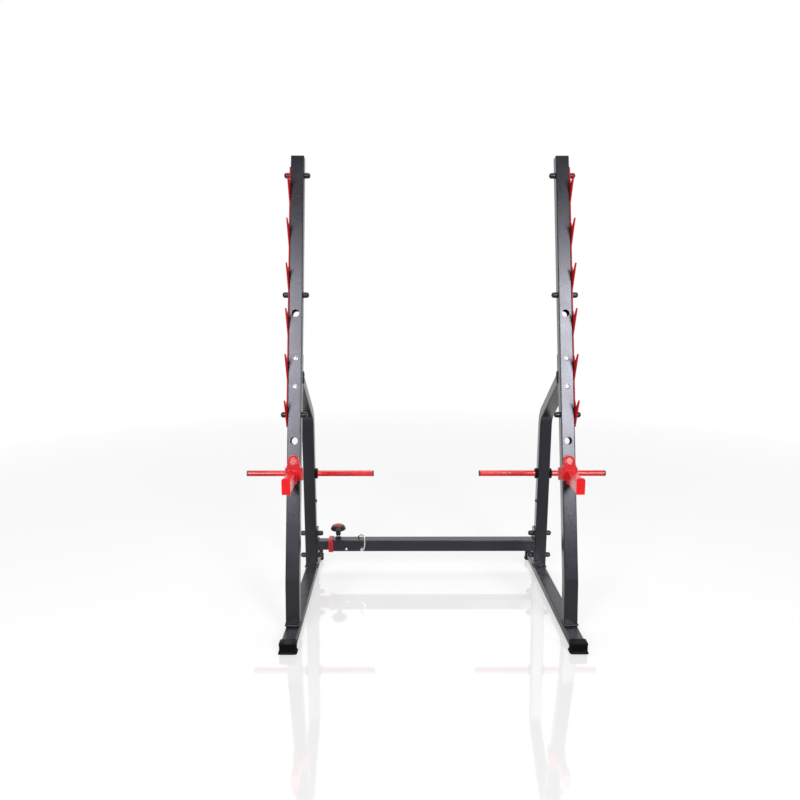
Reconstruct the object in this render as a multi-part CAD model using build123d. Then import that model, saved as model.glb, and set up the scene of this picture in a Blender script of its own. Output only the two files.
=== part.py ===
from build123d import *
import os
from math import atan, cos, degrees, radians, sin, tan

# A width-adjustable squat rack: two mirrored side frames joined by a telescoping crossbar.
# Origin: floor level, in the middle of the footprint. +X to the right, +Y to the back, +Z up.
# Every side piece is drawn about its frame's centre plane (x = 0) with +X pointing outward,
# and placed by `on_right` or `on_left`. Lengths are millimetres and angles are degrees.

# ---------------------------------------------------------------- whole rack
FRAME_SPACING = 1000.0        # between the centre planes of the side frames, closed up
FOOTPRINT_DEPTH = 860.0       # front sole edge to rear sole edge

# ---------------------------------------------------------------- steel tube
TUBE_WIDTH = 50.0             # across the rack
TUBE_DEPTH = 40.0             # front to back
BASE_HEIGHT = 30.0            # the floor tube is lower than the other tubes are deep
TUBE_WALL = 2.0
TUBE_CORNER = 4.0             # outer corner radius
LEAST_CORNER = 0.5            # smallest inner corner radius

# ---------------------------------------------------------------- rubber boots
SOLE_THICKNESS = 5.0
BOOT_WALL = 4.0
BOOT_LENGTH = 34.0
SKIRT_FLARE = 4.0             # how far the sole stands out past the boot's wall
SKIRT_HEIGHT = 9.0
BOOT_CORNER = 5.0
BOOT_TOP_EDGE = 4.5

# ---------------------------------------------------------------- upright
UPRIGHT_FOOT_Y = -302.9       # front face where it meets the floor tube
UPRIGHT_FOOT_LEAN = 5.0
UPRIGHT_LEAN = 13.93
UPRIGHT_BEND_RISE = 162.0     # from the floor tube's top to the bend
UPRIGHT_BEND_RADIUS = 120.0
UPRIGHT_PAST_PLATE = 33.5     # bare tube above the bar-hook plate
TOP_CAP_THICKNESS = 5.0
TOP_CAP_EDGE = 1.6
TOP_CAP_PLUG = 16.0
PLUG_WALL = 2.5
BIG_HOLE_DIAMETER = 27.6
SPOTTER_HOLE = 432.5          # the hole that carries the spotter, from the bend
FREE_HOLES_ABOVE = (74.5, 546.5)  # free spotter holes, above that hole

# ---------------------------------------------------------------- rear strut
STRUT_FOOT_Y = 249.4          # centre line where it meets the floor tube
STRUT_LEAN = 2.2              # forward
STRUT_BEND_Z = 711.0
STRUT_BEND_RADIUS = 82.0
STRUT_RISE = 34.4             # slope of the upper run above level
STRUT_FLANGE_THICKNESS = 6.0
STRUT_FLANGE_LENGTH = 150.0
STRUT_BOLT_SPACING = 105.0
STRUT_FLANGE_SHIFT = 12.8     # flange centre above the strut's centre line
HOLE_PLUG_Z = 333.0
HOLE_PLUG_DIAMETER = 15.0
HOLE_PLUG_RISE = 5.0

# ---------------------------------------------------------------- bar hooks
HOOK_PLATE_THICKNESS = 5.0
HOOK_PLATE_LENGTH = 986.0
HOOK_PLATE_GAP = 103.5        # its lower end above the spotter's tongue
HOOK_STRIP_INSET = 7.0        # strip's front edge behind the upright's front face
HOOK_STRIP_BACK = 33.0        # strip edge behind the front face
HOOK_COUNT = 6
HOOK_FIRST_TIP = 54.0         # top tip below the plate's top
HOOK_REACH = 54.0             # tip in front of the front face
HOOK_TIP_WIDTH = 3.4
HOOK_TIP_EDGE = 3.0
HOOK_LENGTH = 88.0            # tip to the tooth's lower end
HOOK_BELOW_LAST = 4.0         # bare strip below the last tooth
NOTCH_RADIUS = 16.0
NOTCH_CLEARANCE = 1.5         # notch's back in front of the upright's front face
NOTCH_DEPTH = 20.0
NOTCH_SWEEP = 45.0            # slope of the notch's front side
HOOK_PLATE_CORNER = 8.0
HOOK_BOLT_DROP = 32.5         # top bolt below the plate's top
HOOK_BOLT_RISE = 45.0         # lowest bolt above the plate's lower end

# ---------------------------------------------------------------- M10 fasteners
BOLT_DIAMETER = 10.0
BOLT_HOLE = 10.6
HEX_WIDTH = 17.0
HEAD_HEIGHT = 6.4
NUT_HEIGHT = 8.4
BOLT_STICK_OUT = 2.0
THREAD_GAP = 0.05
CAP_DIAMETER = 22.0
CAP_LENGTH = 22.0
CAP_ROUND = 8.8
CAP_CAVITY = 9.5
CAP_TIP_BORE = 14.0
CAP_GAP = 0.1
DOME_HEAD_DIAMETER = 20.0
DOME_HEAD_HEIGHT = 5.0

# ---------------------------------------------------------------- plate storage pin
STORAGE_PIN_Z = 457.0
STORAGE_PIN_DIAMETER = 25.0
STORAGE_PIN_WALL = 2.5
STORAGE_REACH_IN = 270.0      # tube end from the frame's centre plane, towards the middle
STORAGE_REACH_OUT = 262.0
PIN_CAP_THICKNESS = 5.0
PIN_CAP_EDGE = 2.0
PIN_CAP_PLUG = 14.0
STOP_RING_DIAMETER = 44.0
STOP_RING_THICKNESS = 10.0
STOP_RING_EDGE = 2.5
PIN_CAP_GAP = 0.25            # around the plug and under the lid
PIN_FIT_GAP = 0.05

# ---------------------------------------------------------------- spotter
SADDLE_THICKNESS = 5.0
SADDLE_SIDE_GAP = 0.4
SADDLE_SEAT_GAP = 0.3
SADDLE_DROP = 69.0            # pin axis to the saddle's lower edge
SADDLE_WING_HEIGHT = 46.0
SADDLE_WING_DEPTH = 44.0      # behind the upright's front face
SADDLE_TONGUE_RADIUS = 22.0
SADDLE_SHOULDER = 10.0        # tongue's straight side below the pin axis
SADDLE_BEND = 3.0
SPOTTER_PIN_DIAMETER = 26.0
SPOTTER_PIN_PROUD = 3.0
SPOTTER_PIN_BEHIND = 52.0     # behind the upright's front face
SPOTTER_PIN_EDGE = 2.0
ARM_WIDTH = 30.0
ARM_HEIGHT = 45.0
ARM_WALL = 3.0
ARM_CORNER = 3.0
ARM_OFFSET = 5.0              # outward of the upright's centre plane
ARM_REACH = 150.0             # from the front face at the pin, level, to the end plate's front
ARM_DROP = 77.0               # pin axis to the arm's underside, vertical
END_PLATE_THICKNESS = 5.0
END_PLATE_BELOW = 3.0
END_PLATE_ABOVE = 10.0
END_PLATE_CORNER = 9.0

# ---------------------------------------------------------------- crossbar
CROSSBAR_Z = 135.0
SLEEVE_SIZE = 50.0
SLEEVE_WALL = 2.5
INNER_SIZE = 40.0
INNER_WALL = 2.0
INNER_CORNER = 3.0
SLIDE_GAP = 0.3               # between the inner tube and its liner, each side
FLANGE_THICKNESS = 6.0
FLANGE_HEIGHT = 150.0
FLANGE_BOLT_SPACING = 100.0
FLANGE_CORNER = 4.0
STUB_SHOWN = 46.0             # inner tube seen between its flange and the collar, closed up
COLLAR_LENGTH = 20.0
COLLAR_WALL = 4.0
COLLAR_EDGE = 1.3
LINER_LENGTH = 92.0           # collar's outer face to the liner's inner end
WIDTH_STEP = 88.0
WIDTH_STEPS = 2
INNER_PAST_PIN = 42.0         # inner tube past its last pin seat

# ---------------------------------------------------------------- crossbar hardware
KNOB_FROM_COLLAR = 41.0       # from the collar's outer face
SCREW_FROM_COLLAR = 77.0
HITCH_FROM_COLLAR = 145.0
HITCH_DROP = 13.5             # below the crossbar's centre line
HITCH_DIAMETER = 8.0
HITCH_GAP = 0.3
HITCH_SEAT_GAP = 0.5          # round seats at the width settings
HITCH_HEAD_DIAMETER = 14.0
HITCH_HEAD_LENGTH = 10.0
HITCH_HEAD_GAP = 0.3
HITCH_PAST_TUBE = 9.0
HITCH_CHAMFER = 1.5
BAIL_WIRE = 4.5
BAIL_PIVOT_GAP = 0.06
BAIL_TAIL = 9.0               # wire past the head on its free side
BAIL_LEG_SIDE = 12.0          # rising leg, sideways from the pin axis
BAIL_RISE = 34.0              # top of the leg above the sleeve
BAIL_TIP_SIDE = -19.0         # tip, sideways from the pin axis
BAIL_TIP_GAP = 0.6            # tip above the sleeve
BAIL_KNEE_BEND = 4.6
BAIL_TOP_BEND = 14.0
SCREW_HEAD_DIAMETER = 12.0
SCREW_HEAD_HEIGHT = 3.5
SCREW_DIAMETER = 6.0
BOSS_WIDTH = 19.0
BOSS_HEIGHT = 10.0
BOSS_POCKET = 3.0             # room in the boss for the pad at full lift
STUD_INTO_KNOB = 26.0
PAD_DIAMETER = 14.0
PAD_THICKNESS = 1.9
PAD_GAP = 0.2                 # under the pad and around it
KNOB_LIFT = 16.0              # neck's lower end above the sleeve
KNOB_NECK_DIAMETER = 22.0
KNOB_NECK_LENGTH = 22.0
KNOB_DIAMETER = 66.0
KNOB_RIM = 10.0
KNOB_DOME = 14.0
KNOB_FOOT_DIAMETER = 17.6     # the neck's chamfered lower end
KNOB_FOOT_CHAMFER = 3.0
KNOB_CUP_START = 4.0          # the underside's curve leaves the neck this far below its top
KNOB_CUP_DIAMETER = 43.6      # and passes the neck's top height here
KNOB_EDGE_INSET = 2.0         # the rim's lower edge, in from the widest place
KNOB_EDGE_HEIGHT = 6.0        # and below the rim's top
KNOB_WIDEST_DROP = 1.0        # the widest place below the rim's top
KNOB_EDGE_TURN = 3.0          # the rim's upper edge, in and up from the widest corner
KNOB_CROWN_DROP = 4.0         # halfway up the crown, below its top
KNOB_SEAT_DROP = 1.0          # the cap's seat edge, below the crown's top
KNOB_CAP_DIAMETER = 40.0
KNOB_CAP_THICKNESS = 4.0
KNOB_CAP_RISE = 2.5

# ---------------------------------------------------------------- worked-out places
HALF_SPACING = FRAME_SPACING / 2
HALF_WIDTH = TUBE_WIDTH / 2
BASE_TOP_Z = SOLE_THICKNESS + BASE_HEIGHT
BASE_END_Y = FOOTPRINT_DEPTH / 2 - SKIRT_FLARE - BOOT_WALL
UPRIGHT_BEND_Z = BASE_TOP_Z + UPRIGHT_BEND_RISE
UPRIGHT_BEND_Y = UPRIGHT_FOOT_Y + UPRIGHT_BEND_RISE * tan(radians(UPRIGHT_FOOT_LEAN))
CROSSBAR_Y = STRUT_FOOT_Y - (CROSSBAR_Z - BASE_TOP_Z) * tan(radians(STRUT_LEAN))
FLANGE_FACE_X = HALF_SPACING - HALF_WIDTH - FLANGE_THICKNESS
COLLAR_X = -FLANGE_FACE_X + STUB_SHOWN
SLEEVE_END_X = COLLAR_X + COLLAR_WALL
SLEEVE_TOP_Z = CROSSBAR_Z + SLEEVE_SIZE / 2
SLEEVE_FRONT_Y = CROSSBAR_Y - SLEEVE_SIZE / 2
LINER_BORE = INNER_SIZE + 2 * SLIDE_GAP
HITCH_X = COLLAR_X + HITCH_FROM_COLLAR
HITCH_Z = CROSSBAR_Z - HITCH_DROP
WIDTH_TRAVEL = WIDTH_STEP * WIDTH_STEPS
KNOB_X = COLLAR_X + KNOB_FROM_COLLAR

BIG_HOLES = tuple(SPOTTER_HOLE + above for above in FREE_HOLES_ABOVE)
HOOK_PLATE_BOTTOM = SPOTTER_HOLE + SADDLE_TONGUE_RADIUS + HOOK_PLATE_GAP
HOOK_PLATE_TOP = HOOK_PLATE_BOTTOM + HOOK_PLATE_LENGTH
HOOK_TEETH_SPAN = HOOK_PLATE_LENGTH - HOOK_FIRST_TIP - HOOK_LENGTH - HOOK_BELOW_LAST
HOOK_PITCH = HOOK_TEETH_SPAN / (HOOK_COUNT - 1)
HOOK_BOLTS = (
    HOOK_PLATE_TOP - HOOK_BOLT_DROP,
    HOOK_PLATE_BOTTOM + HOOK_PLATE_LENGTH / 2,
    HOOK_PLATE_BOTTOM + HOOK_BOLT_RISE,
)
UPRIGHT_LENGTH = HOOK_PLATE_TOP + UPRIGHT_PAST_PLATE

# The upright's own plane: local x runs backwards from its front face, local y runs up along it
# from the bend, and its normal is +X.
UPRIGHT = Plane(
    origin=(0, UPRIGHT_BEND_Y, UPRIGHT_BEND_Z),
    x_dir=(0, cos(radians(UPRIGHT_LEAN)), -sin(radians(UPRIGHT_LEAN))),
    z_dir=(1, 0, 0),
)


# ---------------------------------------------------------------- helpers
def on_upright(behind, along, across=0.0):
    """Return the point so far behind the upright's front face and along it from the bend."""
    return UPRIGHT.from_local_coords(Vector(behind, along, across))


def facing_forward(along, behind=0.0):
    """Return a plane parallel to the upright's front face, normal forward, local y upward."""
    return Plane(origin=on_upright(behind, along), x_dir=(1, 0, 0), z_dir=-UPRIGHT.x_dir)


def facing_back(along, behind):
    """Return a plane parallel to the upright's back face, normal backward."""
    return Plane(origin=on_upright(behind, along), x_dir=(-1, 0, 0), z_dir=UPRIGHT.x_dir)


def facing_x(x, y, z, outward=True):
    """Return a plane across X, its normal outward (+X) or inward (-X)."""
    return Plane(origin=(x, y, z), x_dir=(0, 1, 0), z_dir=(1 if outward else -1, 0, 0))


def hollow_section(width, depth, wall, corner):
    """Return the outer and inner outlines of a rectangular tube."""
    inner_corner = max(corner - wall, LEAST_CORNER)
    outer = RectangleRounded(width, depth, corner)
    inner = RectangleRounded(width - 2 * wall, depth - 2 * wall, inner_corner)
    return outer, inner


def tube_along(path):
    """Return a frame tube swept along a path that lies in a plane across X."""
    start = Plane(origin=path @ 0, x_dir=(1, 0, 0), z_dir=path % 0)
    outer, inner = hollow_section(TUBE_WIDTH, TUBE_DEPTH, TUBE_WALL, TUBE_CORNER)
    solid = sweep(start * outer, path=path)
    hollow = sweep(start * inner, path=path)
    return solid - hollow


def bar(plane, diameter, length):
    """Return a round bar from a plane along its normal."""
    return extrude(plane * Circle(diameter / 2), amount=length)


def hexagon(plane, width, height):
    """Return a hexagonal prism, sized across its flats."""
    return extrude(plane * RegularPolygon(width / 2, 6, major_radius=False), amount=height)


def dome(plane, diameter, height):
    """Return a shallow round head bulging along the plane's normal."""
    sphere_radius = (diameter ** 2 / 4 + height ** 2) / (2 * height)
    sphere = Pos(0, 0, height - sphere_radius) * Sphere(sphere_radius)
    keep = Pos(0, 0, height / 2) * Cylinder(diameter / 2, height)
    return plane.location * (sphere & keep)


def on_right(shape):
    """Place a side piece on the right-hand frame."""
    return group(Pos(HALF_SPACING, 0, 0) * solid for solid in shape.solids())


def on_left(shape):
    """Place the mirror image of a side piece on the left-hand frame."""
    return group(Pos(-HALF_SPACING, 0, 0) * mirror(solid, about=Plane.YZ) for solid in shape.solids())


def group(solids):
    """Keep separate solids together as one node."""
    return Compound([piece for solid in solids for piece in solid.solids()])


# ---------------------------------------------------------------- floor tube and boots
def base_start():
    """Return the plane of the floor tube's front end, facing back."""
    centre_z = SOLE_THICKNESS + BASE_HEIGHT / 2
    return Plane(origin=(0, -BASE_END_Y, centre_z), x_dir=(1, 0, 0), z_dir=(0, 1, 0))


def base_tube():
    """Return the tube that lies on the floor, front to back."""
    outer, inner = hollow_section(TUBE_WIDTH, BASE_HEIGHT, TUBE_WALL, TUBE_CORNER)
    return extrude(base_start() * (outer - inner), amount=2 * BASE_END_Y)


def front_boot():
    """Return the rubber boot on the floor tube's front end, with its flared sole."""
    front_y = -BASE_END_Y - BOOT_WALL
    width = TUBE_WIDTH + 2 * BOOT_WALL
    height = BASE_TOP_Z + BOOT_WALL
    middle_y = front_y + BOOT_LENGTH / 2
    outline = RectangleRounded(width, BOOT_LENGTH, BOOT_CORNER)
    body = extrude(Pos(0, middle_y, 0) * outline, amount=height)
    body = fillet(body.faces().sort_by(Axis.Z)[-1].edges(), BOOT_TOP_EDGE)
    flare = degrees(atan(SKIRT_FLARE / SKIRT_HEIGHT))
    sole_length = BOOT_LENGTH + 2 * SKIRT_FLARE
    sole = RectangleRounded(width + 2 * SKIRT_FLARE, sole_length, BOOT_CORNER + SKIRT_FLARE)
    skirt = extrude(Pos(0, middle_y, 0) * sole, amount=SKIRT_HEIGHT, taper=flare)
    tube_outer, _ = hollow_section(TUBE_WIDTH, BASE_HEIGHT, TUBE_WALL, TUBE_CORNER)
    return body + skirt - extrude(base_start() * tube_outer, amount=2 * BOOT_LENGTH)


def rear_boot():
    """Return the same boot turned to the rear end."""
    return mirror(front_boot(), about=Plane.XZ)


# ---------------------------------------------------------------- upright
def upright_path():
    """Return the centre line of the upright, starting inside the floor tube."""
    low = radians(UPRIGHT_FOOT_LEAN)
    high = radians(UPRIGHT_LEAN)
    share = TUBE_DEPTH / 2 / (1 + cos(high - low))
    bend_y = UPRIGHT_BEND_Y + share * (cos(low) + cos(high))
    bend_z = UPRIGHT_BEND_Z - share * (sin(low) + sin(high))
    foot_z = BASE_TOP_Z - TUBE_DEPTH
    foot = (0, bend_y - (bend_z - foot_z) * tan(low), foot_z)
    top = on_upright(TUBE_DEPTH / 2, UPRIGHT_LENGTH)
    return FilletPolyline(foot, (0, bend_y, bend_z), top, radius=UPRIGHT_BEND_RADIUS)


def strut_bolt_places():
    """Return how far each strut-flange bolt is from the bend."""
    centre = strut_flange_centre()
    return [centre - STRUT_BOLT_SPACING / 2, centre + STRUT_BOLT_SPACING / 2]


def upright():
    """Return the leaning front tube with its cross holes and front-to-back holes."""
    tube = tube_along(upright_path())
    tube = split(tube, bisect_by=Plane.XY.offset(BASE_TOP_Z), keep=Keep.TOP)
    for along in (*BIG_HOLES, SPOTTER_HOLE):
        tube -= bar(facing_back(along, -TUBE_DEPTH), BIG_HOLE_DIAMETER, 3 * TUBE_DEPTH)
    for along in strut_bolt_places():
        tube -= bar(facing_back(along, -TUBE_DEPTH), BOLT_HOLE, 3 * TUBE_DEPTH)
    for along in HOOK_BOLTS:
        centre = on_upright(TUBE_DEPTH / 2, along)
        tube -= bar(facing_x(-TUBE_WIDTH, centre.Y, centre.Z), BOLT_HOLE, 2 * TUBE_WIDTH)
    return tube


def upright_top_cap():
    """Return the plastic cap pushed into the upright's open top."""
    centre = on_upright(TUBE_DEPTH / 2, UPRIGHT_LENGTH)
    top = Plane(origin=centre, x_dir=(1, 0, 0), z_dir=UPRIGHT.y_dir)
    outer, inner = hollow_section(TUBE_WIDTH, TUBE_DEPTH, TUBE_WALL, TUBE_CORNER)
    lid = extrude(top * outer, amount=TOP_CAP_THICKNESS)
    lid = fillet(lid.faces().sort_by(Axis(centre, UPRIGHT.y_dir))[-1].edges(), TOP_CAP_EDGE)
    plug = extrude(top * inner, amount=-TOP_CAP_PLUG)
    hollow_width = TUBE_WIDTH - 2 * TUBE_WALL - 2 * PLUG_WALL
    hollow_depth = TUBE_DEPTH - 2 * TUBE_WALL - 2 * PLUG_WALL
    return lid + plug - extrude(top * Rectangle(hollow_width, hollow_depth), amount=-TOP_CAP_PLUG)


# ---------------------------------------------------------------- rear strut
def strut_bend():
    """Return the corner of the strut's centre line, before its bend is rounded."""
    return Vector(0, strut_centre_y(STRUT_BEND_Z), STRUT_BEND_Z)


def strut_run():
    """Return the direction of the strut's upper run, forward and up."""
    return Vector(0, -cos(radians(STRUT_RISE)), sin(radians(STRUT_RISE)))


def strut_run_length():
    """Return the upper run's length, from the bend to the flange, along the centre line."""
    bend_behind = UPRIGHT.to_local_coords(strut_bend()).X
    return (bend_behind - TUBE_DEPTH - STRUT_FLANGE_THICKNESS) / -strut_run().dot(UPRIGHT.x_dir)


def strut_flange_centre():
    """Return how far along the upright the strut's flange is centred."""
    end = strut_bend() + strut_run() * strut_run_length()
    return UPRIGHT.to_local_coords(end).Y + STRUT_FLANGE_SHIFT


def strut_centre_y(z):
    """Return the strut's centre line at a height below the bend."""
    return STRUT_FOOT_Y - (z - BASE_TOP_Z) * tan(radians(STRUT_LEAN))


def rear_strut():
    """Return the rear strut: a near-upright run, a round bend and a run forward to the flange."""
    bend = strut_bend()
    low_z = BASE_TOP_Z - TUBE_DEPTH
    foot = (0, strut_centre_y(low_z), low_z)
    past_flange = bend + strut_run() * (strut_run_length() + TUBE_DEPTH)
    tube = tube_along(FilletPolyline(foot, bend, past_flange, radius=STRUT_BEND_RADIUS))
    tube = split(tube, bisect_by=Plane.XY.offset(BASE_TOP_Z), keep=Keep.TOP)
    flange_back = facing_back(strut_flange_centre(), TUBE_DEPTH + STRUT_FLANGE_THICKNESS)
    tube = split(tube, bisect_by=flange_back, keep=Keep.TOP)
    pin_y = strut_centre_y(STORAGE_PIN_Z)
    pin_hole = STORAGE_PIN_DIAMETER + 2 * PIN_FIT_GAP
    tube -= bar(facing_x(-TUBE_WIDTH, pin_y, STORAGE_PIN_Z), pin_hole, 2 * TUBE_WIDTH)
    for z in flange_bolt_heights():
        tube -= bar(facing_x(-TUBE_WIDTH, CROSSBAR_Y, z), BOLT_HOLE, 2 * TUBE_WIDTH)
    plug_y = strut_centre_y(HOLE_PLUG_Z)
    tube -= bar(facing_x(-TUBE_WIDTH, plug_y, HOLE_PLUG_Z), BOLT_HOLE, TUBE_WIDTH)
    return tube


def strut_flange():
    """Return the plate on the strut's upper end, bolted to the upright's back."""
    centre = strut_flange_centre()
    start = facing_back(centre, TUBE_DEPTH)
    outline = RectangleRounded(TUBE_WIDTH, STRUT_FLANGE_LENGTH, FLANGE_CORNER)
    plate = extrude(start * outline, amount=STRUT_FLANGE_THICKNESS)
    for along in strut_bolt_places():
        plate -= bar(facing_back(along, 0), BOLT_HOLE, 2 * TUBE_DEPTH)
    return plate


def strut_hole_plug():
    """Return the plastic plug that closes the strut's spare hole on its inner side."""
    y = strut_centre_y(HOLE_PLUG_Z)
    inward = facing_x(-HALF_WIDTH, y, HOLE_PLUG_Z, outward=False)
    head = dome(inward, HOLE_PLUG_DIAMETER, HOLE_PLUG_RISE)
    stem = bar(inward, BOLT_DIAMETER, -2 * TUBE_WALL)
    return head + stem


# ---------------------------------------------------------------- bar hooks
def hook_outline(tip_along):
    """Return one hook's outline, from its lower end up past the notch, in behind and along."""
    tip = (-HOOK_REACH, tip_along)
    tip_edge = (-HOOK_REACH, tip_along - HOOK_TIP_EDGE)
    tip_back = (HOOK_TIP_WIDTH - HOOK_REACH, tip_along)
    lower_end = (HOOK_STRIP_INSET, tip_along - HOOK_LENGTH)
    centre_x = -NOTCH_CLEARANCE - NOTCH_RADIUS
    centre_y = tip_along - NOTCH_DEPTH + NOTCH_RADIUS
    slope = radians(NOTCH_SWEEP)
    notch_end = (centre_x - NOTCH_RADIUS * sin(slope), centre_y - NOTCH_RADIUS * cos(slope))
    halfway = radians(90 - NOTCH_SWEEP) / 2
    notch_middle = (centre_x + NOTCH_RADIUS * sin(halfway), centre_y - NOTCH_RADIUS * cos(halfway))
    notch_start = (-NOTCH_CLEARANCE, centre_y)
    upper_end = (HOOK_STRIP_INSET, centre_y + NOTCH_CLEARANCE + HOOK_STRIP_INSET)
    return [
        Line(lower_end, tip_edge),
        Line(tip_edge, tip),
        Line(tip, tip_back),
        Line(tip_back, notch_end),
        ThreePointArc(notch_end, notch_middle, notch_start),
        Line(notch_start, upper_end),
    ]


def hook_plate():
    """Return the saw-toothed plate that holds the barbell, on the upright's outer side."""
    top = HOOK_PLATE_TOP
    bottom = HOOK_PLATE_BOTTOM
    edges = []
    corner = (HOOK_STRIP_INSET, bottom)
    for index in reversed(range(HOOK_COUNT)):
        tooth = hook_outline(top - HOOK_FIRST_TIP - HOOK_PITCH * index)
        edges += [Line(corner, tooth[0] @ 0), *tooth]
        corner = tooth[-1] @ 1
    strip = Polyline(
        corner,
        (HOOK_STRIP_INSET, top),
        (HOOK_STRIP_BACK, top),
        (HOOK_STRIP_BACK, bottom),
        (HOOK_STRIP_INSET, bottom),
    )
    outline = make_face(Wire(edges + list(strip.edges())))
    plate = extrude(UPRIGHT.offset(HALF_WIDTH) * outline, amount=HOOK_PLATE_THICKNESS)
    top_corners = plate.edges().filter_by(Axis.X).sort_by(Axis(UPRIGHT.origin, UPRIGHT.y_dir))[-2:]
    plate = fillet(top_corners, HOOK_PLATE_CORNER)
    for along in HOOK_BOLTS:
        centre = on_upright(TUBE_DEPTH / 2, along)
        plate -= bar(facing_x(0, centre.Y, centre.Z), BOLT_HOLE, 2 * TUBE_WIDTH)
    return plate


# ---------------------------------------------------------------- fasteners
def flange_bolt_heights():
    """Return the heights of the two bolts through each crossbar flange."""
    return [CROSSBAR_Z - FLANGE_BOLT_SPACING / 2, CROSSBAR_Z + FLANGE_BOLT_SPACING / 2]


def cross_joints():
    """Return each bolt through a side tube: inner face, outer face, height and depth."""
    hooks = [on_upright(TUBE_DEPTH / 2, along) for along in HOOK_BOLTS]
    joints = [(-HALF_WIDTH, HALF_WIDTH + HOOK_PLATE_THICKNESS, at.Y, at.Z) for at in hooks]
    for z in flange_bolt_heights():
        joints.append((-HALF_WIDTH - FLANGE_THICKNESS, HALF_WIDTH, CROSSBAR_Y, z))
    return joints


def hex_bolt(head_plane, grip):
    """Return a hexagon bolt whose shank runs back from the head's seat."""
    head = hexagon(head_plane, HEX_WIDTH, HEAD_HEIGHT)
    return head + bar(head_plane, BOLT_DIAMETER, -(grip + NUT_HEIGHT + BOLT_STICK_OUT))


def dome_bolt(head_plane, grip):
    """Return a dome-headed bolt whose shank runs back from the head's seat."""
    head = dome(head_plane, DOME_HEAD_DIAMETER, DOME_HEAD_HEIGHT)
    return head + bar(head_plane, BOLT_DIAMETER, -(grip + NUT_HEIGHT + BOLT_STICK_OUT))


def nut(seat_plane):
    """Return a hexagon nut standing on a plane."""
    bore = bar(seat_plane, BOLT_DIAMETER + 2 * THREAD_GAP, NUT_HEIGHT)
    return hexagon(seat_plane, HEX_WIDTH, NUT_HEIGHT) - bore


def bolt_cap(seat_plane):
    """Return the domed plastic cap that covers a nut or a bolt head."""
    shell = Pos(0, 0, CAP_LENGTH / 2) * Cylinder(CAP_DIAMETER / 2, CAP_LENGTH)
    shell = fillet(shell.edges().sort_by(Axis.Z)[-1], CAP_ROUND)
    shell -= hexagon(Plane.XY, HEX_WIDTH + 2 * CAP_GAP, CAP_CAVITY)
    shell -= bar(Plane.XY, BOLT_HOLE, CAP_TIP_BORE)
    return seat_plane.location * shell


def cross_bolts():
    """Return the hexagon bolts that run across the frame, heads outward."""
    return group(hex_bolt(facing_x(outer, y, z), outer - inner) for inner, outer, y, z in cross_joints())


def frame_nuts():
    """Return every nut of one side frame."""
    crossing = [nut(facing_x(inner, y, z, outward=False)) for inner, _, y, z in cross_joints()]
    back = TUBE_DEPTH + STRUT_FLANGE_THICKNESS
    return group(crossing + [nut(facing_back(along, back)) for along in strut_bolt_places()])


def bolt_caps():
    """Return every plastic bolt cap of one side frame."""
    caps = []
    for inner, outer, y, z in cross_joints():
        caps.append(bolt_cap(facing_x(inner, y, z, outward=False)))
        caps.append(bolt_cap(facing_x(outer, y, z)))
    back = TUBE_DEPTH + STRUT_FLANGE_THICKNESS
    return group(caps + [bolt_cap(facing_back(along, back)) for along in strut_bolt_places()])


def strut_bolts():
    """Return the bright dome-headed bolts that hold the strut's flange to the upright."""
    grip = TUBE_DEPTH + STRUT_FLANGE_THICKNESS
    return group(dome_bolt(facing_forward(along), grip) for along in strut_bolt_places())


# ---------------------------------------------------------------- plate storage pin
def storage_pin():
    """Return the tube through the strut that stores weight plates on both sides."""
    y = strut_centre_y(STORAGE_PIN_Z)
    start = facing_x(-STORAGE_REACH_IN, y, STORAGE_PIN_Z)
    length = STORAGE_REACH_IN + STORAGE_REACH_OUT
    bore = bar(start, STORAGE_PIN_DIAMETER - 2 * STORAGE_PIN_WALL, length)
    return bar(start, STORAGE_PIN_DIAMETER, length) - bore


def storage_pin_caps():
    """Return the plastic plugs in both ends of the storage pin."""
    y = strut_centre_y(STORAGE_PIN_Z)
    caps = []
    for x, outward in ((-STORAGE_REACH_IN, False), (STORAGE_REACH_OUT, True)):
        seat = facing_x(x, y, STORAGE_PIN_Z, outward).offset(PIN_CAP_GAP)
        lid = bar(seat, STORAGE_PIN_DIAMETER, PIN_CAP_THICKNESS)
        end = lid.faces().sort_by(Axis(seat.origin, seat.z_dir))[-1]
        lid = fillet(end.edges(), PIN_CAP_EDGE)
        plug_diameter = STORAGE_PIN_DIAMETER - 2 * STORAGE_PIN_WALL - 2 * PIN_CAP_GAP
        caps.append(lid + bar(seat, plug_diameter, -PIN_CAP_PLUG))
    return group(caps)


def stop_rings():
    """Return the rubber rings on the storage pin, one against each side of the strut."""
    y = strut_centre_y(STORAGE_PIN_Z)
    rings = []
    for outward in (False, True):
        seat = facing_x(HALF_WIDTH if outward else -HALF_WIDTH, y, STORAGE_PIN_Z, outward)
        ring = bar(seat, STOP_RING_DIAMETER, STOP_RING_THICKNESS)
        ring = fillet(ring.edges(), STOP_RING_EDGE)
        rings.append(ring - bar(seat, STORAGE_PIN_DIAMETER + 2 * PIN_FIT_GAP, STOP_RING_THICKNESS))
    return group(rings)


# ---------------------------------------------------------------- spotter
def saddle_half_width():
    """Return half the saddle's overall width."""
    return HALF_WIDTH + SADDLE_SIDE_GAP + SADDLE_THICKNESS


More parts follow.
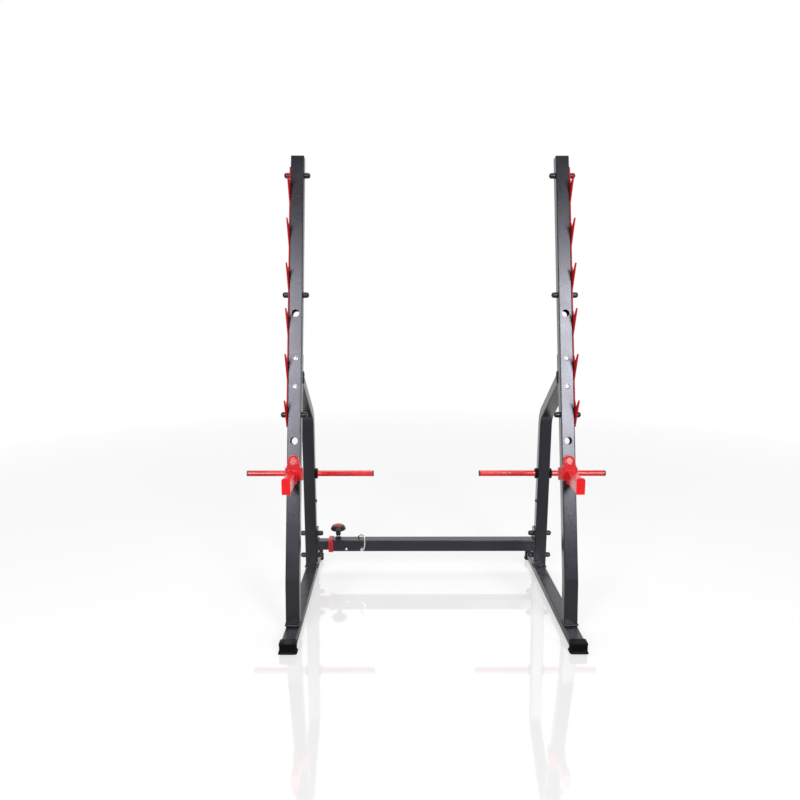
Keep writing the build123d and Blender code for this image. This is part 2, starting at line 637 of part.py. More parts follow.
def spotter_saddle():
    """Return the bent plate that straddles the upright, with its rounded tongue above."""
    seat = facing_forward(SPOTTER_HOLE, -SADDLE_SEAT_GAP)
    half = saddle_half_width()
    wing_top = SADDLE_WING_HEIGHT - SADDLE_DROP
    block = Pos(0, wing_top - SADDLE_WING_HEIGHT / 2) * Rectangle(2 * half, SADDLE_WING_HEIGHT)
    wrap_depth = SADDLE_WING_DEPTH + SADDLE_SEAT_GAP
    channel = extrude(seat.offset(-wrap_depth) * block, amount=wrap_depth + SADDLE_THICKNESS)
    front = channel.faces().sort_by(Axis(seat.origin, seat.z_dir))[-1]
    channel = fillet(front.edges().filter_by(Axis(seat.origin, seat.y_dir)), SADDLE_BEND)
    gap_width = TUBE_WIDTH + 2 * SADDLE_SIDE_GAP
    slot = Pos(0, wing_top - SADDLE_WING_HEIGHT / 2) * Rectangle(gap_width, 2 * SADDLE_WING_HEIGHT)
    channel -= extrude(seat * slot, amount=-2 * SADDLE_WING_DEPTH)
    shoulders = Polyline(
        (-SADDLE_TONGUE_RADIUS, 0),
        (-SADDLE_TONGUE_RADIUS, -SADDLE_SHOULDER),
        (SADDLE_BEND - half, wing_top),
        (half - SADDLE_BEND, wing_top),
        (SADDLE_TONGUE_RADIUS, -SADDLE_SHOULDER),
        (SADDLE_TONGUE_RADIUS, 0),
        close=True,
    )
    tongue = Circle(SADDLE_TONGUE_RADIUS) + make_face(shoulders)
    plate = channel + extrude(seat * tongue, amount=SADDLE_THICKNESS)
    return plate - bar(seat, SPOTTER_PIN_DIAMETER + 2 * PIN_FIT_GAP, SADDLE_THICKNESS)


def spotter_pin():
    """Return the pin that plugs the spotter into the upright."""
    seat = facing_forward(SPOTTER_HOLE, SPOTTER_PIN_BEHIND)
    proud = SADDLE_SEAT_GAP + SADDLE_THICKNESS + SPOTTER_PIN_PROUD
    pin = bar(seat, SPOTTER_PIN_DIAMETER, SPOTTER_PIN_BEHIND + proud)
    ends = pin.edges().filter_by(GeomType.CIRCLE)
    return fillet(ends, SPOTTER_PIN_EDGE)


def arm_plane():
    """Return the plane of the spotter arm's section at the end plate, facing backward."""
    pin_point = on_upright(0, SPOTTER_HOLE)
    centre_z = pin_point.Z - ARM_DROP + ARM_HEIGHT / 2
    return Plane(
        origin=(ARM_OFFSET, pin_point.Y - ARM_REACH + END_PLATE_THICKNESS, centre_z),
        x_dir=(1, 0, 0), z_dir=(0, 1, 0),
    )


def spotter_arm():
    """Return the level box arm that catches the bar, welded to the saddle's front."""
    outer, inner = hollow_section(ARM_WIDTH, ARM_HEIGHT, ARM_WALL, ARM_CORNER)
    arm = extrude(arm_plane() * (outer - inner), amount=ARM_REACH)
    saddle_front = facing_forward(SPOTTER_HOLE, -SADDLE_SEAT_GAP - SADDLE_THICKNESS)
    return split(arm, bisect_by=saddle_front, keep=Keep.TOP)


def spotter_end_plate():
    """Return the rounded plate that stops the bar rolling off the arm."""
    height = ARM_HEIGHT + END_PLATE_BELOW + END_PLATE_ABOVE
    shift = (END_PLATE_BELOW - END_PLATE_ABOVE) / 2
    outline = Pos(0, shift) * Rectangle(ARM_WIDTH, height)
    plate = extrude(arm_plane() * outline, amount=-END_PLATE_THICKNESS)
    top_corners = plate.edges().filter_by(Axis.Y).group_by(Axis.Z)[-1]
    return fillet(top_corners, END_PLATE_CORNER)


# ---------------------------------------------------------------- crossbar
def crossbar_flange():
    """Return the plate that bolts one end of the crossbar to the strut's inner side."""
    start = facing_x(-HALF_WIDTH, CROSSBAR_Y, CROSSBAR_Z, outward=False)
    outline = RectangleRounded(SLEEVE_SIZE, FLANGE_HEIGHT, FLANGE_CORNER)
    plate = extrude(start * outline, amount=FLANGE_THICKNESS)
    for z in flange_bolt_heights():
        plate -= bar(facing_x(-TUBE_WIDTH, CROSSBAR_Y, z), BOLT_HOLE, 2 * TUBE_WIDTH)
    return plate


def crossbar_start(x):
    """Return a plane across the crossbar, its normal to the right."""
    return Plane(origin=(x, CROSSBAR_Y, CROSSBAR_Z), x_dir=(0, 1, 0), z_dir=(1, 0, 0))


def hitch_plane():
    """Return a plane well in front of the crossbar on the hitch pin's axis, facing back."""
    return Plane(origin=(HITCH_X, CROSSBAR_Y - SLEEVE_SIZE, HITCH_Z), x_dir=(1, 0, 0), z_dir=(0, 1, 0))


def crossbar_sleeve():
    """Return the outer crossbar tube, fixed to the right-hand frame."""
    outer, inner = hollow_section(SLEEVE_SIZE, SLEEVE_SIZE, SLEEVE_WALL, TUBE_CORNER)
    length = FLANGE_FACE_X - SLEEVE_END_X
    sleeve = extrude(crossbar_start(SLEEVE_END_X) * (outer - inner), amount=length)
    sleeve -= bar(hitch_plane(), HITCH_DIAMETER + 2 * HITCH_GAP, 2 * SLEEVE_SIZE)
    sleeve -= bar(knob_plane(CROSSBAR_Z), PAD_DIAMETER + 2 * PAD_GAP, SLEEVE_SIZE)
    sleeve -= bar(screw_plane(), SCREW_DIAMETER + 2 * THREAD_GAP, -SLEEVE_WALL)
    return sleeve


def crossbar_inner_tube():
    """Return the sliding tube, fixed to the left-hand frame, with its pin slot and seats."""
    outer, inner = hollow_section(INNER_SIZE, INNER_SIZE, INNER_WALL, INNER_CORNER)
    length = HITCH_X + WIDTH_TRAVEL + INNER_PAST_PIN + FLANGE_FACE_X
    tube = extrude(crossbar_start(-FLANGE_FACE_X) * (outer - inner), amount=length)
    slot = SlotCenterToCenter(WIDTH_TRAVEL, HITCH_DIAMETER + 2 * HITCH_GAP)
    tube -= extrude(hitch_plane() * (Pos(WIDTH_TRAVEL / 2, 0) * slot), amount=2 * SLEEVE_SIZE)
    for step in range(WIDTH_STEPS + 1):
        seat = hitch_plane() * (Pos(step * WIDTH_STEP, 0) * Circle(HITCH_DIAMETER / 2 + HITCH_SEAT_GAP))
        tube -= extrude(seat, amount=2 * SLEEVE_SIZE)
    return tube


def crossbar_collar():
    """Return the plastic collar on the sleeve's end, with the liner the inner tube runs in."""
    size = SLEEVE_SIZE + 2 * COLLAR_WALL
    block = RectangleRounded(size, size, TUBE_CORNER + COLLAR_WALL)
    collar = extrude(crossbar_start(COLLAR_X) * block, amount=COLLAR_LENGTH)
    collar = fillet(collar.faces().filter_by(Axis.X).edges(), COLLAR_EDGE)
    sleeve_outer, sleeve_inner = hollow_section(SLEEVE_SIZE, SLEEVE_SIZE, SLEEVE_WALL, TUBE_CORNER)
    collar -= extrude(crossbar_start(SLEEVE_END_X) * sleeve_outer, amount=COLLAR_LENGTH)
    liner_start = COLLAR_X + COLLAR_WALL / 2
    liner_length = LINER_LENGTH - COLLAR_WALL / 2
    collar += extrude(crossbar_start(liner_start) * sleeve_inner, amount=liner_length)
    bore = RectangleRounded(LINER_BORE, LINER_BORE, INNER_CORNER)
    collar -= extrude(crossbar_start(COLLAR_X) * bore, amount=LINER_LENGTH)
    collar -= bar(knob_plane(CROSSBAR_Z), PAD_DIAMETER + 2 * PAD_GAP, SLEEVE_SIZE)
    return collar - bar(screw_plane(), SCREW_DIAMETER + 2 * THREAD_GAP, -SLEEVE_SIZE / 2)


# ---------------------------------------------------------------- clamp knob
def knob_plane(z):
    """Return a level plane on the clamp knob's axis."""
    return Plane(origin=(KNOB_X, CROSSBAR_Y, z), x_dir=(1, 0, 0), z_dir=(0, 0, 1))


def clamp_pad():
    """Return the small disc that presses on the inner tube."""
    return bar(knob_plane(CROSSBAR_Z + INNER_SIZE / 2 + PAD_GAP), PAD_DIAMETER, PAD_THICKNESS)


def clamp_boss():
    """Return the hexagon boss, welded on the sleeve, that the stud screws through."""
    boss = hexagon(knob_plane(SLEEVE_TOP_Z), BOSS_WIDTH, BOSS_HEIGHT)
    boss -= bar(knob_plane(SLEEVE_TOP_Z), PAD_DIAMETER + 2 * PAD_GAP, BOSS_POCKET)
    return boss - bar(knob_plane(SLEEVE_TOP_Z), BOLT_DIAMETER + 2 * THREAD_GAP, BOSS_HEIGHT)


def clamp_stud():
    """Return the threaded stud, from the pad up into the knob."""
    bottom_z = CROSSBAR_Z + INNER_SIZE / 2 + PAD_GAP + PAD_THICKNESS
    top_z = SLEEVE_TOP_Z + KNOB_LIFT + STUD_INTO_KNOB
    return bar(knob_plane(bottom_z), BOLT_DIAMETER, top_z - bottom_z)


def knob_head():
    """Return the mushroom-shaped hand knob with a seat for its centre cap."""
    neck = KNOB_NECK_DIAMETER / 2
    foot = KNOB_FOOT_DIAMETER / 2
    rim = KNOB_DIAMETER / 2
    seat = KNOB_CAP_DIAMETER / 2
    shoulder = KNOB_NECK_LENGTH + KNOB_RIM
    top = shoulder + KNOB_DOME
    cup_start = (neck, KNOB_NECK_LENGTH - KNOB_CUP_START)
    cup_middle = (KNOB_CUP_DIAMETER / 2, KNOB_NECK_LENGTH)
    rim_low = (rim - KNOB_EDGE_INSET, shoulder - KNOB_EDGE_HEIGHT)
    rim_widest = (rim, shoulder - KNOB_WIDEST_DROP)
    rim_high = (rim - KNOB_EDGE_TURN, shoulder + KNOB_EDGE_TURN)
    crown_middle = ((rim + seat) / 2, top - KNOB_CROWN_DROP)
    seat_edge = (seat, top - KNOB_SEAT_DROP)
    seat_floor = top - KNOB_CAP_THICKNESS
    profile = make_face([
        Line((0, 0), (foot, 0)),
        Line((foot, 0), (neck, KNOB_FOOT_CHAMFER)),
        Line((neck, KNOB_FOOT_CHAMFER), cup_start),
        ThreePointArc(cup_start, cup_middle, rim_low),
        ThreePointArc(rim_low, rim_widest, rim_high),
        ThreePointArc(rim_high, crown_middle, seat_edge),
        Line(seat_edge, (seat, seat_floor)),
        Line((seat, seat_floor), (0, seat_floor)),
        Line((0, seat_floor), (0, 0)),
    ])
    body = revolve(Plane.XZ * profile, axis=Axis.Z)
    body -= Pos(0, 0, STUD_INTO_KNOB / 2) * Cylinder(BOLT_DIAMETER / 2 + THREAD_GAP, STUD_INTO_KNOB)
    return knob_plane(SLEEVE_TOP_Z + KNOB_LIFT).location * body


def knob_cap():
    """Return the coloured cap set in the knob's top."""
    top = KNOB_NECK_LENGTH + KNOB_RIM + KNOB_DOME
    seat_z = SLEEVE_TOP_Z + KNOB_LIFT + top - KNOB_CAP_THICKNESS
    diameter = KNOB_CAP_DIAMETER - 2 * PIN_FIT_GAP
    disc = bar(knob_plane(seat_z), diameter, KNOB_CAP_THICKNESS)
    return disc + dome(knob_plane(seat_z + KNOB_CAP_THICKNESS), diameter, KNOB_CAP_RISE)


# ---------------------------------------------------------------- liner screw and hitch pin
def screw_plane():
    """Return the plane of the liner screw's seat on the sleeve's front, facing forward."""
    return Plane(
        origin=(COLLAR_X + SCREW_FROM_COLLAR, SLEEVE_FRONT_Y, HITCH_Z), x_dir=(1, 0, 0), z_dir=(0, -1, 0)
    )


def liner_screw():
    """Return the bright dome screw that fixes the liner in the sleeve."""
    wall = (SLEEVE_SIZE - LINER_BORE) / 2
    head = dome(screw_plane(), SCREW_HEAD_DIAMETER, SCREW_HEAD_HEIGHT)
    return head + bar(screw_plane(), SCREW_DIAMETER, -wall)


def hitch_head_y():
    """Return where the hitch pin's head faces the sleeve."""
    return SLEEVE_FRONT_Y - HITCH_HEAD_GAP


def bail_pivot():
    """Return the bail's pivot point, on the hitch pin's axis in the middle of its head."""
    return Vector(HITCH_X, hitch_head_y() - HITCH_HEAD_LENGTH / 2, HITCH_Z)


def hitch_pin():
    """Return the locking pin, with a cross hole in its head for the bail."""
    seat = Plane(origin=(HITCH_X, hitch_head_y(), HITCH_Z), x_dir=(1, 0, 0), z_dir=(0, 1, 0))
    length = HITCH_HEAD_GAP + SLEEVE_SIZE + HITCH_PAST_TUBE
    shank = bar(seat, HITCH_DIAMETER, length)
    shank = chamfer(shank.edges().group_by(Axis.Y)[-1], HITCH_CHAMFER)
    head = bar(seat, HITCH_HEAD_DIAMETER, -HITCH_HEAD_LENGTH)
    head = fillet(head.edges().group_by(Axis.Y)[0], HITCH_CHAMFER)
    pivot = bail_pivot()
    hole_start = facing_x(pivot.X - HITCH_HEAD_DIAMETER, pivot.Y, pivot.Z)
    return shank + head - bar(hole_start, BAIL_WIRE + 2 * BAIL_PIVOT_GAP, 2 * HITCH_HEAD_DIAMETER)


def pin_bail():
    """Return the wire bail: through the pin's head, up the sleeve's front and over its top."""
    pivot = bail_pivot()
    leg_top = Vector(pivot.X + BAIL_LEG_SIDE, pivot.Y, SLEEVE_TOP_Z + BAIL_RISE)
    tip_z = SLEEVE_TOP_Z + BAIL_TIP_GAP + BAIL_WIRE / 2
    tip = Vector(pivot.X + BAIL_TIP_SIDE, SLEEVE_FRONT_Y + SLEEVE_SIZE, tip_z)
    tail = Vector(pivot.X - BAIL_TAIL, pivot.Y, pivot.Z)
    knee = Vector(pivot.X + BAIL_LEG_SIDE, pivot.Y, pivot.Z)
    path = FilletPolyline(tail, knee, leg_top, tip, radius=[BAIL_KNEE_BEND, BAIL_TOP_BEND])
    start = Plane(origin=tail, z_dir=(1, 0, 0))
    return sweep(start * Circle(BAIL_WIRE / 2), path=path)


# ---------------------------------------------------------------- all nodes
SIDE_PIECES = {
    "base_tube": base_tube,
    "front_boot": front_boot,
    "rear_boot": rear_boot,
    "upright": upright,
    "upright_top_cap": upright_top_cap,
    "rear_strut": rear_strut,
    "strut_flange": strut_flange,
    "strut_bolts": strut_bolts,
    "strut_hole_plug": strut_hole_plug,
    "hook_plate": hook_plate,
    "cross_bolts": cross_bolts,
    "frame_nuts": frame_nuts,
    "bolt_caps": bolt_caps,
    "crossbar_flange": crossbar_flange,
    "storage_pin": storage_pin,
    "storage_pin_caps": storage_pin_caps,
    "stop_rings": stop_rings,
    "spotter_saddle": spotter_saddle,
    "spotter_pin": spotter_pin,
    "spotter_arm": spotter_arm,
    "spotter_end_plate": spotter_end_plate,
}

CROSSBAR_PIECES = {
    "crossbar_sleeve": crossbar_sleeve,
    "crossbar_inner_tube": crossbar_inner_tube,
    "crossbar_collar": crossbar_collar,
    "liner_screw": liner_screw,
    "clamp_boss": clamp_boss,
    "clamp_pad": clamp_pad,
    "clamp_stud": clamp_stud,
    "knob_head": knob_head,
    "knob_cap": knob_cap,
    "hitch_pin": hitch_pin,
    "pin_bail": pin_bail,
}


def main():
    """Write one STEP file for each node."""
    os.makedirs("parts", exist_ok=True)
    for name, build in SIDE_PIECES.items():
        piece = build()
        export_step(on_right(piece), f"parts/right_{name}.step")
        export_step(on_left(piece), f"parts/left_{name}.step")
    for name, build in CROSSBAR_PIECES.items():
        export_step(build(), f"parts/{name}.step")


main()
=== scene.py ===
"""Finishes, weld beads, moulded trim, fasteners and studio of a width-adjustable squat rack.

Every object is in metres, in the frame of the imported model: +Z up, +Y from the front uprights to the
rear struts, +X towards the side frame that carries the fixed crossbar sleeve.
"""

import logging
import math
from collections.abc import Iterable, Sequence
from dataclasses import dataclass, replace
from enum import Enum

import bmesh
import bpy
import numpy as np
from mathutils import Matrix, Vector


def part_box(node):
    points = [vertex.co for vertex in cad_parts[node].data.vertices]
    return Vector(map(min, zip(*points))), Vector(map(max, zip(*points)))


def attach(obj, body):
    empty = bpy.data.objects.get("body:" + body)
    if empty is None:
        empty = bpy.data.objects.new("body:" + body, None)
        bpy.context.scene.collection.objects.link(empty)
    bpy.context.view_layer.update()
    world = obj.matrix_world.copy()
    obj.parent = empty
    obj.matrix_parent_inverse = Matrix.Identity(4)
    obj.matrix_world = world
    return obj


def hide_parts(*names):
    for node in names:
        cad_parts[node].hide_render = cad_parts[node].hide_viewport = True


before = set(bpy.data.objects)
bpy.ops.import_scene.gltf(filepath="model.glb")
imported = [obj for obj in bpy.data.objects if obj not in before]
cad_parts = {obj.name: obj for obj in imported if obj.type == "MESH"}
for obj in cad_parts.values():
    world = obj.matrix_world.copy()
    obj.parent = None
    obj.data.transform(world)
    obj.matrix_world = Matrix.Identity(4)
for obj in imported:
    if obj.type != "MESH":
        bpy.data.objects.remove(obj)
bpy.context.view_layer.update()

LOG = logging.getLogger("squat_rack")
MM = 0.001
SAME_PLACE = 0.01 * MM  # vertices that round to one step of this are one
CREASE = 32.0  # degrees; sharper edges stay sharp
WHITE = (1.0, 1.0, 1.0, 1.0)
Colour = tuple[float, float, float]
Profile = Sequence[tuple[float, float]]


class Side(Enum):
    """The two side frames."""

    RIGHT = "right"
    LEFT = "left"

    def node(self, piece: str) -> str:
        """Return the name of this side's CAD node for a piece."""
        return f"{self.value}_{piece}"

    @property
    def frame_body(self) -> str:
        """Return the body of the side frame."""
        return f"{self.value}_frame"

    @property
    def spotter_body(self) -> str:
        """Return the body of the side's spotter."""
        return f"{self.value}_spotter"


class Slot(Enum):
    """The material slots of the record."""

    FRAME_PAINT = "frame_paint"
    RED_PAINT = "red_paint"
    BLACK_PLASTIC = "black_plastic"
    RED_PLASTIC = "red_plastic"
    RUBBER = "rubber"
    ZINC = "zinc"
    CHROME = "chrome"


# ------------------------------------------------------------------------------ node trees
class Graph:
    """A node tree with short calls for the nodes that the finishes and repeats use."""

    def __init__(self, tree: bpy.types.NodeTree) -> None:
        """Keep the tree that the calls add nodes to."""
        self.tree = tree

    def add(self, kind: str, inputs: dict | None = None, **settings: object) -> bpy.types.Node:
        """Add a node.

        Args:
            kind: The node's type name.
            inputs: Values, or sockets to link, by input name or index.
            settings: Attributes of the node.

        Returns:
            The new node.
        """
        node = self.tree.nodes.new(kind)
        for name, value in settings.items():
            setattr(node, name, value)
        for key, value in (inputs or {}).items():
            if isinstance(value, bpy.types.NodeSocket):
                self.tree.links.new(value, node.inputs[key])
            else:
                node.inputs[key].default_value = value
        return node

    def link(self, output: bpy.types.NodeSocket, target: bpy.types.NodeSocket) -> None:
        """Link an output to an input."""
        self.tree.links.new(output, target)

    def group(self, tree: bpy.types.NodeTree, inputs: dict | None = None) -> bpy.types.Node:
        """Add a shader group's node, with values for its inputs."""
        return self.add("ShaderNodeGroup", inputs, node_tree=tree)

    def maths(self, operation: str, first: object, second: object) -> bpy.types.NodeSocket:
        """Return the result of a Math node."""
        return self.add("ShaderNodeMath", {0: first, 1: second}, operation=operation).outputs[0]

    def product(self, first: object, *others: object) -> bpy.types.NodeSocket:
        """Return the product of two or more values."""
        for other in others:
            first = self.maths("MULTIPLY", first, other)
        return first

    def noise(self, vector: object, scale: object, detail: float) -> bpy.types.NodeSocket:
        """Return a noise value over a vector."""
        inputs = {"Vector": vector, "Scale": scale, "Detail": detail}
        return self.add("ShaderNodeTexNoise", inputs).outputs["Fac"]

    def spread(self, value: object, low: object, high: object, start: object = 0.0,
               end: object = 1.0) -> bpy.types.NodeSocket:
        """Return a value mapped from low..high to start..end, held inside that range."""
        inputs = {"Value": value, "From Min": low, "From Max": high, "To Min": start, "To Max": end}
        return self.add("ShaderNodeMapRange", inputs).outputs["Result"]

    def blend(self, mask: object, first: object, second: object) -> bpy.types.NodeSocket:
        """Mix two colours by a mask.

        Args:
            mask: The second colour's share.
            first: A colour, or a socket to link.
            second: A colour, or a socket to link.

        Returns:
            The mixed colour.
        """
        node = self.add("ShaderNodeMix", data_type="RGBA")
        for index, value in ((0, mask), (6, first), (7, second)):
            if isinstance(value, bpy.types.NodeSocket):
                self.tree.links.new(value, node.inputs[index])
            else:
                node.inputs[index].default_value = (*value, 1.0) if index else value
        return node.outputs[2]


@dataclass(frozen=True)
class EffectRanges:
    """Where each effect starts and where it is full, and what the grain is mixed from."""

    bevel_samples: int = 4
    edge_turn: tuple[float, float] = (0.995, 0.86)
    edge_patches: tuple[float, float] = (0.35, 0.62)
    fine_share: float = 0.55
    coarse_share: float = 0.45
    coarse_scale: float = 0.21
    mottle: tuple[float, float] = (0.3, 0.7)
    dust_slope: tuple[float, float] = (0.55, 0.98)
    dust_patches: tuple[float, float] = (0.42, 0.72)
    hairline_edge: float = 0.08


class Effects:
    """The surface effects that several finishes share, each a node group built once."""

    ranges = EffectRanges()

    def __init__(self) -> None:
        """Build every group."""
        self.edge_wear_and_highlight = self._edge_wear_and_highlight()
        self.grain = self._grain()
        self.dust = self._dust()
        self.scratches = self._scratches()

    @staticmethod
    def _group(name: str, inputs: dict[str, float],
               outputs: Iterable[str]) -> tuple[Graph, bpy.types.Node, bpy.types.Node]:
        """Start a shader node group.

        Args:
            name: The group's name.
            inputs: The number inputs and their usual values.
            outputs: The names of the number outputs.

        Returns:
            The group's graph, its input node and its output node.
        """
        tree = bpy.data.node_groups.new(name, "ShaderNodeTree")
        for label, value in inputs.items():
            socket = tree.interface.new_socket(label, in_out="INPUT", socket_type="NodeSocketFloat")
            socket.default_value = value
        for label in outputs:
            tree.interface.new_socket(label, in_out="OUTPUT", socket_type="NodeSocketFloat")
        graph = Graph(tree)
        return graph, graph.add("NodeGroupInput"), graph.add("NodeGroupOutput")

    def _edge_wear_and_highlight(self) -> bpy.types.NodeTree:
        """Build the mask of sharp edges, broken up by noise; it takes worn paint on most finishes and a
        painted highlight on the pale-edged reds.

        Returns:
            The group.
        """
        graph, given, result = self._group(
            "edge_wear_and_highlight", {"Radius": 1.5 * MM, "Break Up": 60.0, "Amount": 1.0}, ["Mask"])
        place = graph.add("ShaderNodeTexCoord").outputs["Object"]
        plain = graph.add("ShaderNodeNewGeometry").outputs["Normal"]
        rounded = graph.add("ShaderNodeBevel", {"Radius": given.outputs["Radius"]},
                            samples=self.ranges.bevel_samples)
        facing = graph.add("ShaderNodeVectorMath", {0: plain, 1: rounded.outputs[0]}, operation="DOT_PRODUCT")
        edge = graph.spread(facing.outputs["Value"], *self.ranges.edge_turn)
        patches = graph.spread(graph.noise(place, given.outputs["Break Up"], 4.0), *self.ranges.edge_patches)
        graph.link(graph.product(edge, patches, given.outputs["Amount"]), result.inputs["Mask"])
        return graph.tree

    def _grain(self) -> bpy.types.NodeTree:
        """Build fine surface grain: a bump height and a slow mottle.

        Returns:
            The group.
        """
        graph, given, result = self._group(
            "fine_grain", {"Scale": 900.0, "Mottle Scale": 9.0}, ["Height", "Mottle"])
        place = graph.add("ShaderNodeTexCoord").outputs["Object"]
        fine = graph.noise(place, given.outputs["Scale"], 2.0)
        coarse = graph.noise(place, graph.product(given.outputs["Scale"], self.ranges.coarse_scale), 2.0)
        height = graph.maths("ADD", graph.product(fine, self.ranges.fine_share),
                             graph.product(coarse, self.ranges.coarse_share))
        mottle = graph.spread(graph.noise(place, given.outputs["Mottle Scale"], 5.0), *self.ranges.mottle)
        graph.link(height, result.inputs["Height"])
        graph.link(mottle, result.inputs["Mottle"])
        return graph.tree

    def _dust(self) -> bpy.types.NodeTree:
        """Build the mask of light dust on faces that look up.

        Returns:
            The group.
        """
        graph, given, result = self._group("settled_dust", {"Scale": 35.0, "Amount": 0.3}, ["Mask"])
        place = graph.add("ShaderNodeTexCoord").outputs["Object"]
        normal = graph.add("ShaderNodeNewGeometry").outputs["Normal"]
        upward = graph.add("ShaderNodeSeparateXYZ", {0: normal}).outputs["Z"]
        facing_up = graph.spread(upward, *self.ranges.dust_slope)
        patches = graph.spread(graph.noise(place, given.outputs["Scale"], 6.0), *self.ranges.dust_patches)
        graph.link(graph.product(facing_up, patches, given.outputs["Amount"]), result.inputs["Mask"])
        return graph.tree

    def _scratches(self) -> bpy.types.NodeTree:
        """Build the mask of fine hairlines that run along X.

        Returns:
            The group.
        """
        graph, given, result = self._group(
            "hairlines", {"Length Scale": 12.0, "Width Scale": 700.0, "Threshold": 0.66}, ["Mask"])
        place = graph.add("ShaderNodeTexCoord").outputs["Object"]
        parts = graph.add("ShaderNodeSeparateXYZ", {0: place})
        wide, threshold = given.outputs["Width Scale"], given.outputs["Threshold"]
        long_way = graph.product(parts.outputs["X"], given.outputs["Length Scale"])
        across = graph.product(parts.outputs["Y"], wide)
        upward = graph.product(parts.outputs["Z"], wide)
        stretched = graph.add("ShaderNodeCombineXYZ", {0: long_way, 1: across, 2: upward}).outputs[0]
        lines = graph.noise(stretched, 1.0, 2.0)
        mask = graph.spread(lines, threshold, graph.maths("ADD", threshold, self.ranges.hairline_edge))
        graph.link(mask, result.inputs["Mask"])
        return graph.tree


# ------------------------------------------------------------------------------ finishes
@dataclass(frozen=True)
class Surface:
    """The sockets that carry a finish's colour, roughness and bump height."""

    colour: bpy.types.NodeSocket
    roughness: bpy.types.NodeSocket
    height: bpy.types.NodeSocket


@dataclass(frozen=True)
class Finish:
    """One surface finish; subclasses add what their maker's process leaves on the surface.

    Colours are linear. Sizes of patterns are in repeats per metre.
    """

    name: str
    slot: Slot
    colour: Colour
    mottle_colour: Colour
    # Edge colour: worn paint on most finishes; on the pale-edged reds it is a painted highlight.
    wear_and_edge_highlight_colour: Colour
    roughness: float
    roughness_spread: float = 0.06
    metallic: float = 0.0
    grain_scale: float = 900.0
    grain_depth: float = 0.05
    bump_height: float = 0.4 * MM
    edge_radius: float = 1.2 * MM
    edge_amount: float = 0.5
    dust_amount: float = 0.15
    dust_colour: Colour = (0.30, 0.285, 0.27)
    dust_roughness: float = 0.4
    reflectance: float = 0.5
    sheen_colour: Colour = (1.0, 1.0, 1.0)

    def material(self, effects: Effects) -> bpy.types.Material:
        """Build the finish.

        Args:
            effects: The shared node groups.

        Returns:
            The material.
        """
        made = bpy.data.materials.new(self.name)
        made.use_nodes = True
        graph = Graph(made.node_tree)
        shader = made.node_tree.nodes["Principled BSDF"]
        grain = graph.group(effects.grain, {"Scale": self.grain_scale})
        edge_wear_and_highlight_mask = graph.group(effects.edge_wear_and_highlight, {"Radius": self.edge_radius, "Amount": self.edge_amount})
        dust = graph.group(effects.dust, {"Amount": self.dust_amount})
        colour = graph.blend(grain.outputs["Mottle"], self.colour, self.mottle_colour)
        # Edges take the edge colour: wear, and a painted highlight on the pale-edged reds.
        colour = graph.blend(edge_wear_and_highlight_mask.outputs["Mask"], colour, self.wear_and_edge_highlight_colour)
        colour = graph.blend(dust.outputs["Mask"], colour, self.dust_colour)
        low, high = self.roughness - self.roughness_spread, self.roughness + self.roughness_spread
        roughness = graph.spread(grain.outputs["Mottle"], 0.0, 1.0, low, high)
        dusted = graph.product(dust.outputs["Mask"], self.dust_roughness)
        roughness = graph.maths("ADD", roughness, dusted)
        surface = self._vary(graph, effects, Surface(colour, roughness, grain.outputs["Height"]))
        bump = graph.add("ShaderNodeBump", {
            "Height": surface.height, "Strength": self.grain_depth, "Distance": self.bump_height})
        shader.inputs["Metallic"].default_value = self.metallic
        shader.inputs["Specular IOR Level"].default_value = self.reflectance
        shader.inputs["Specular Tint"].default_value = (*self.sheen_colour, 1.0)
        graph.link(surface.colour, shader.inputs["Base Color"])
        graph.link(surface.roughness, shader.inputs["Roughness"])
        graph.link(bump.outputs["Normal"], shader.inputs["Normal"])
        return made

    def _vary(self, graph: Graph, effects: Effects, surface: Surface) -> Surface:
        """Return the surface with this finish's own pattern added."""
        return surface


@dataclass(frozen=True)
class PowderCoat(Finish):
    """Baked powder paint, with fine orange peel."""


@dataclass(frozen=True)
class RubbedPaint(PowderCoat):
    """Powder paint that plates or a bar slide over along X, with hairline rubbing."""

    rub_colour: Colour = (0.30, 0.02, 0.03)
    rub_amount: float = 0.35
    rub_roughness: float = 0.25

    def _vary(self, graph: Graph, effects: Effects, surface: Surface) -> Surface:
        """Add the hairlines to the colour, roughness and height.

        Args:
            graph: The material's graph.
            effects: The shared node groups.
            surface: The surface so far.

        Returns:
            The rubbed surface.
        """
        lines = graph.group(effects.scratches)
        mask = graph.product(lines.outputs["Mask"], self.rub_amount)
        colour = graph.blend(mask, surface.colour, self.rub_colour)
        roughness = graph.maths("ADD", surface.roughness, graph.product(mask, self.rub_roughness))
        return Surface(colour, roughness, graph.maths("SUBTRACT", surface.height, mask))


@dataclass(frozen=True)
class Moulded(Finish):
    """Injection-moulded plastic or rubber, with sparkle from the tool's texture."""

    texture_scale: float = 1400.0
    texture_depth: float = 0.5

    def _vary(self, graph: Graph, effects: Effects, surface: Surface) -> Surface:
        """Add the tool texture's cells to the height.

        Args:
            graph: The material's graph.
            effects: Not used.
            surface: The surface so far.

        Returns:
            The textured surface.
        """
        place = graph.add("ShaderNodeTexCoord").outputs["Object"]
        cells = graph.add("ShaderNodeTexVoronoi", {"Vector": place, "Scale": self.texture_scale})
        depth = graph.product(cells.outputs["Distance"], self.texture_depth)
        return replace(surface, height=graph.maths("ADD", surface.height, depth))


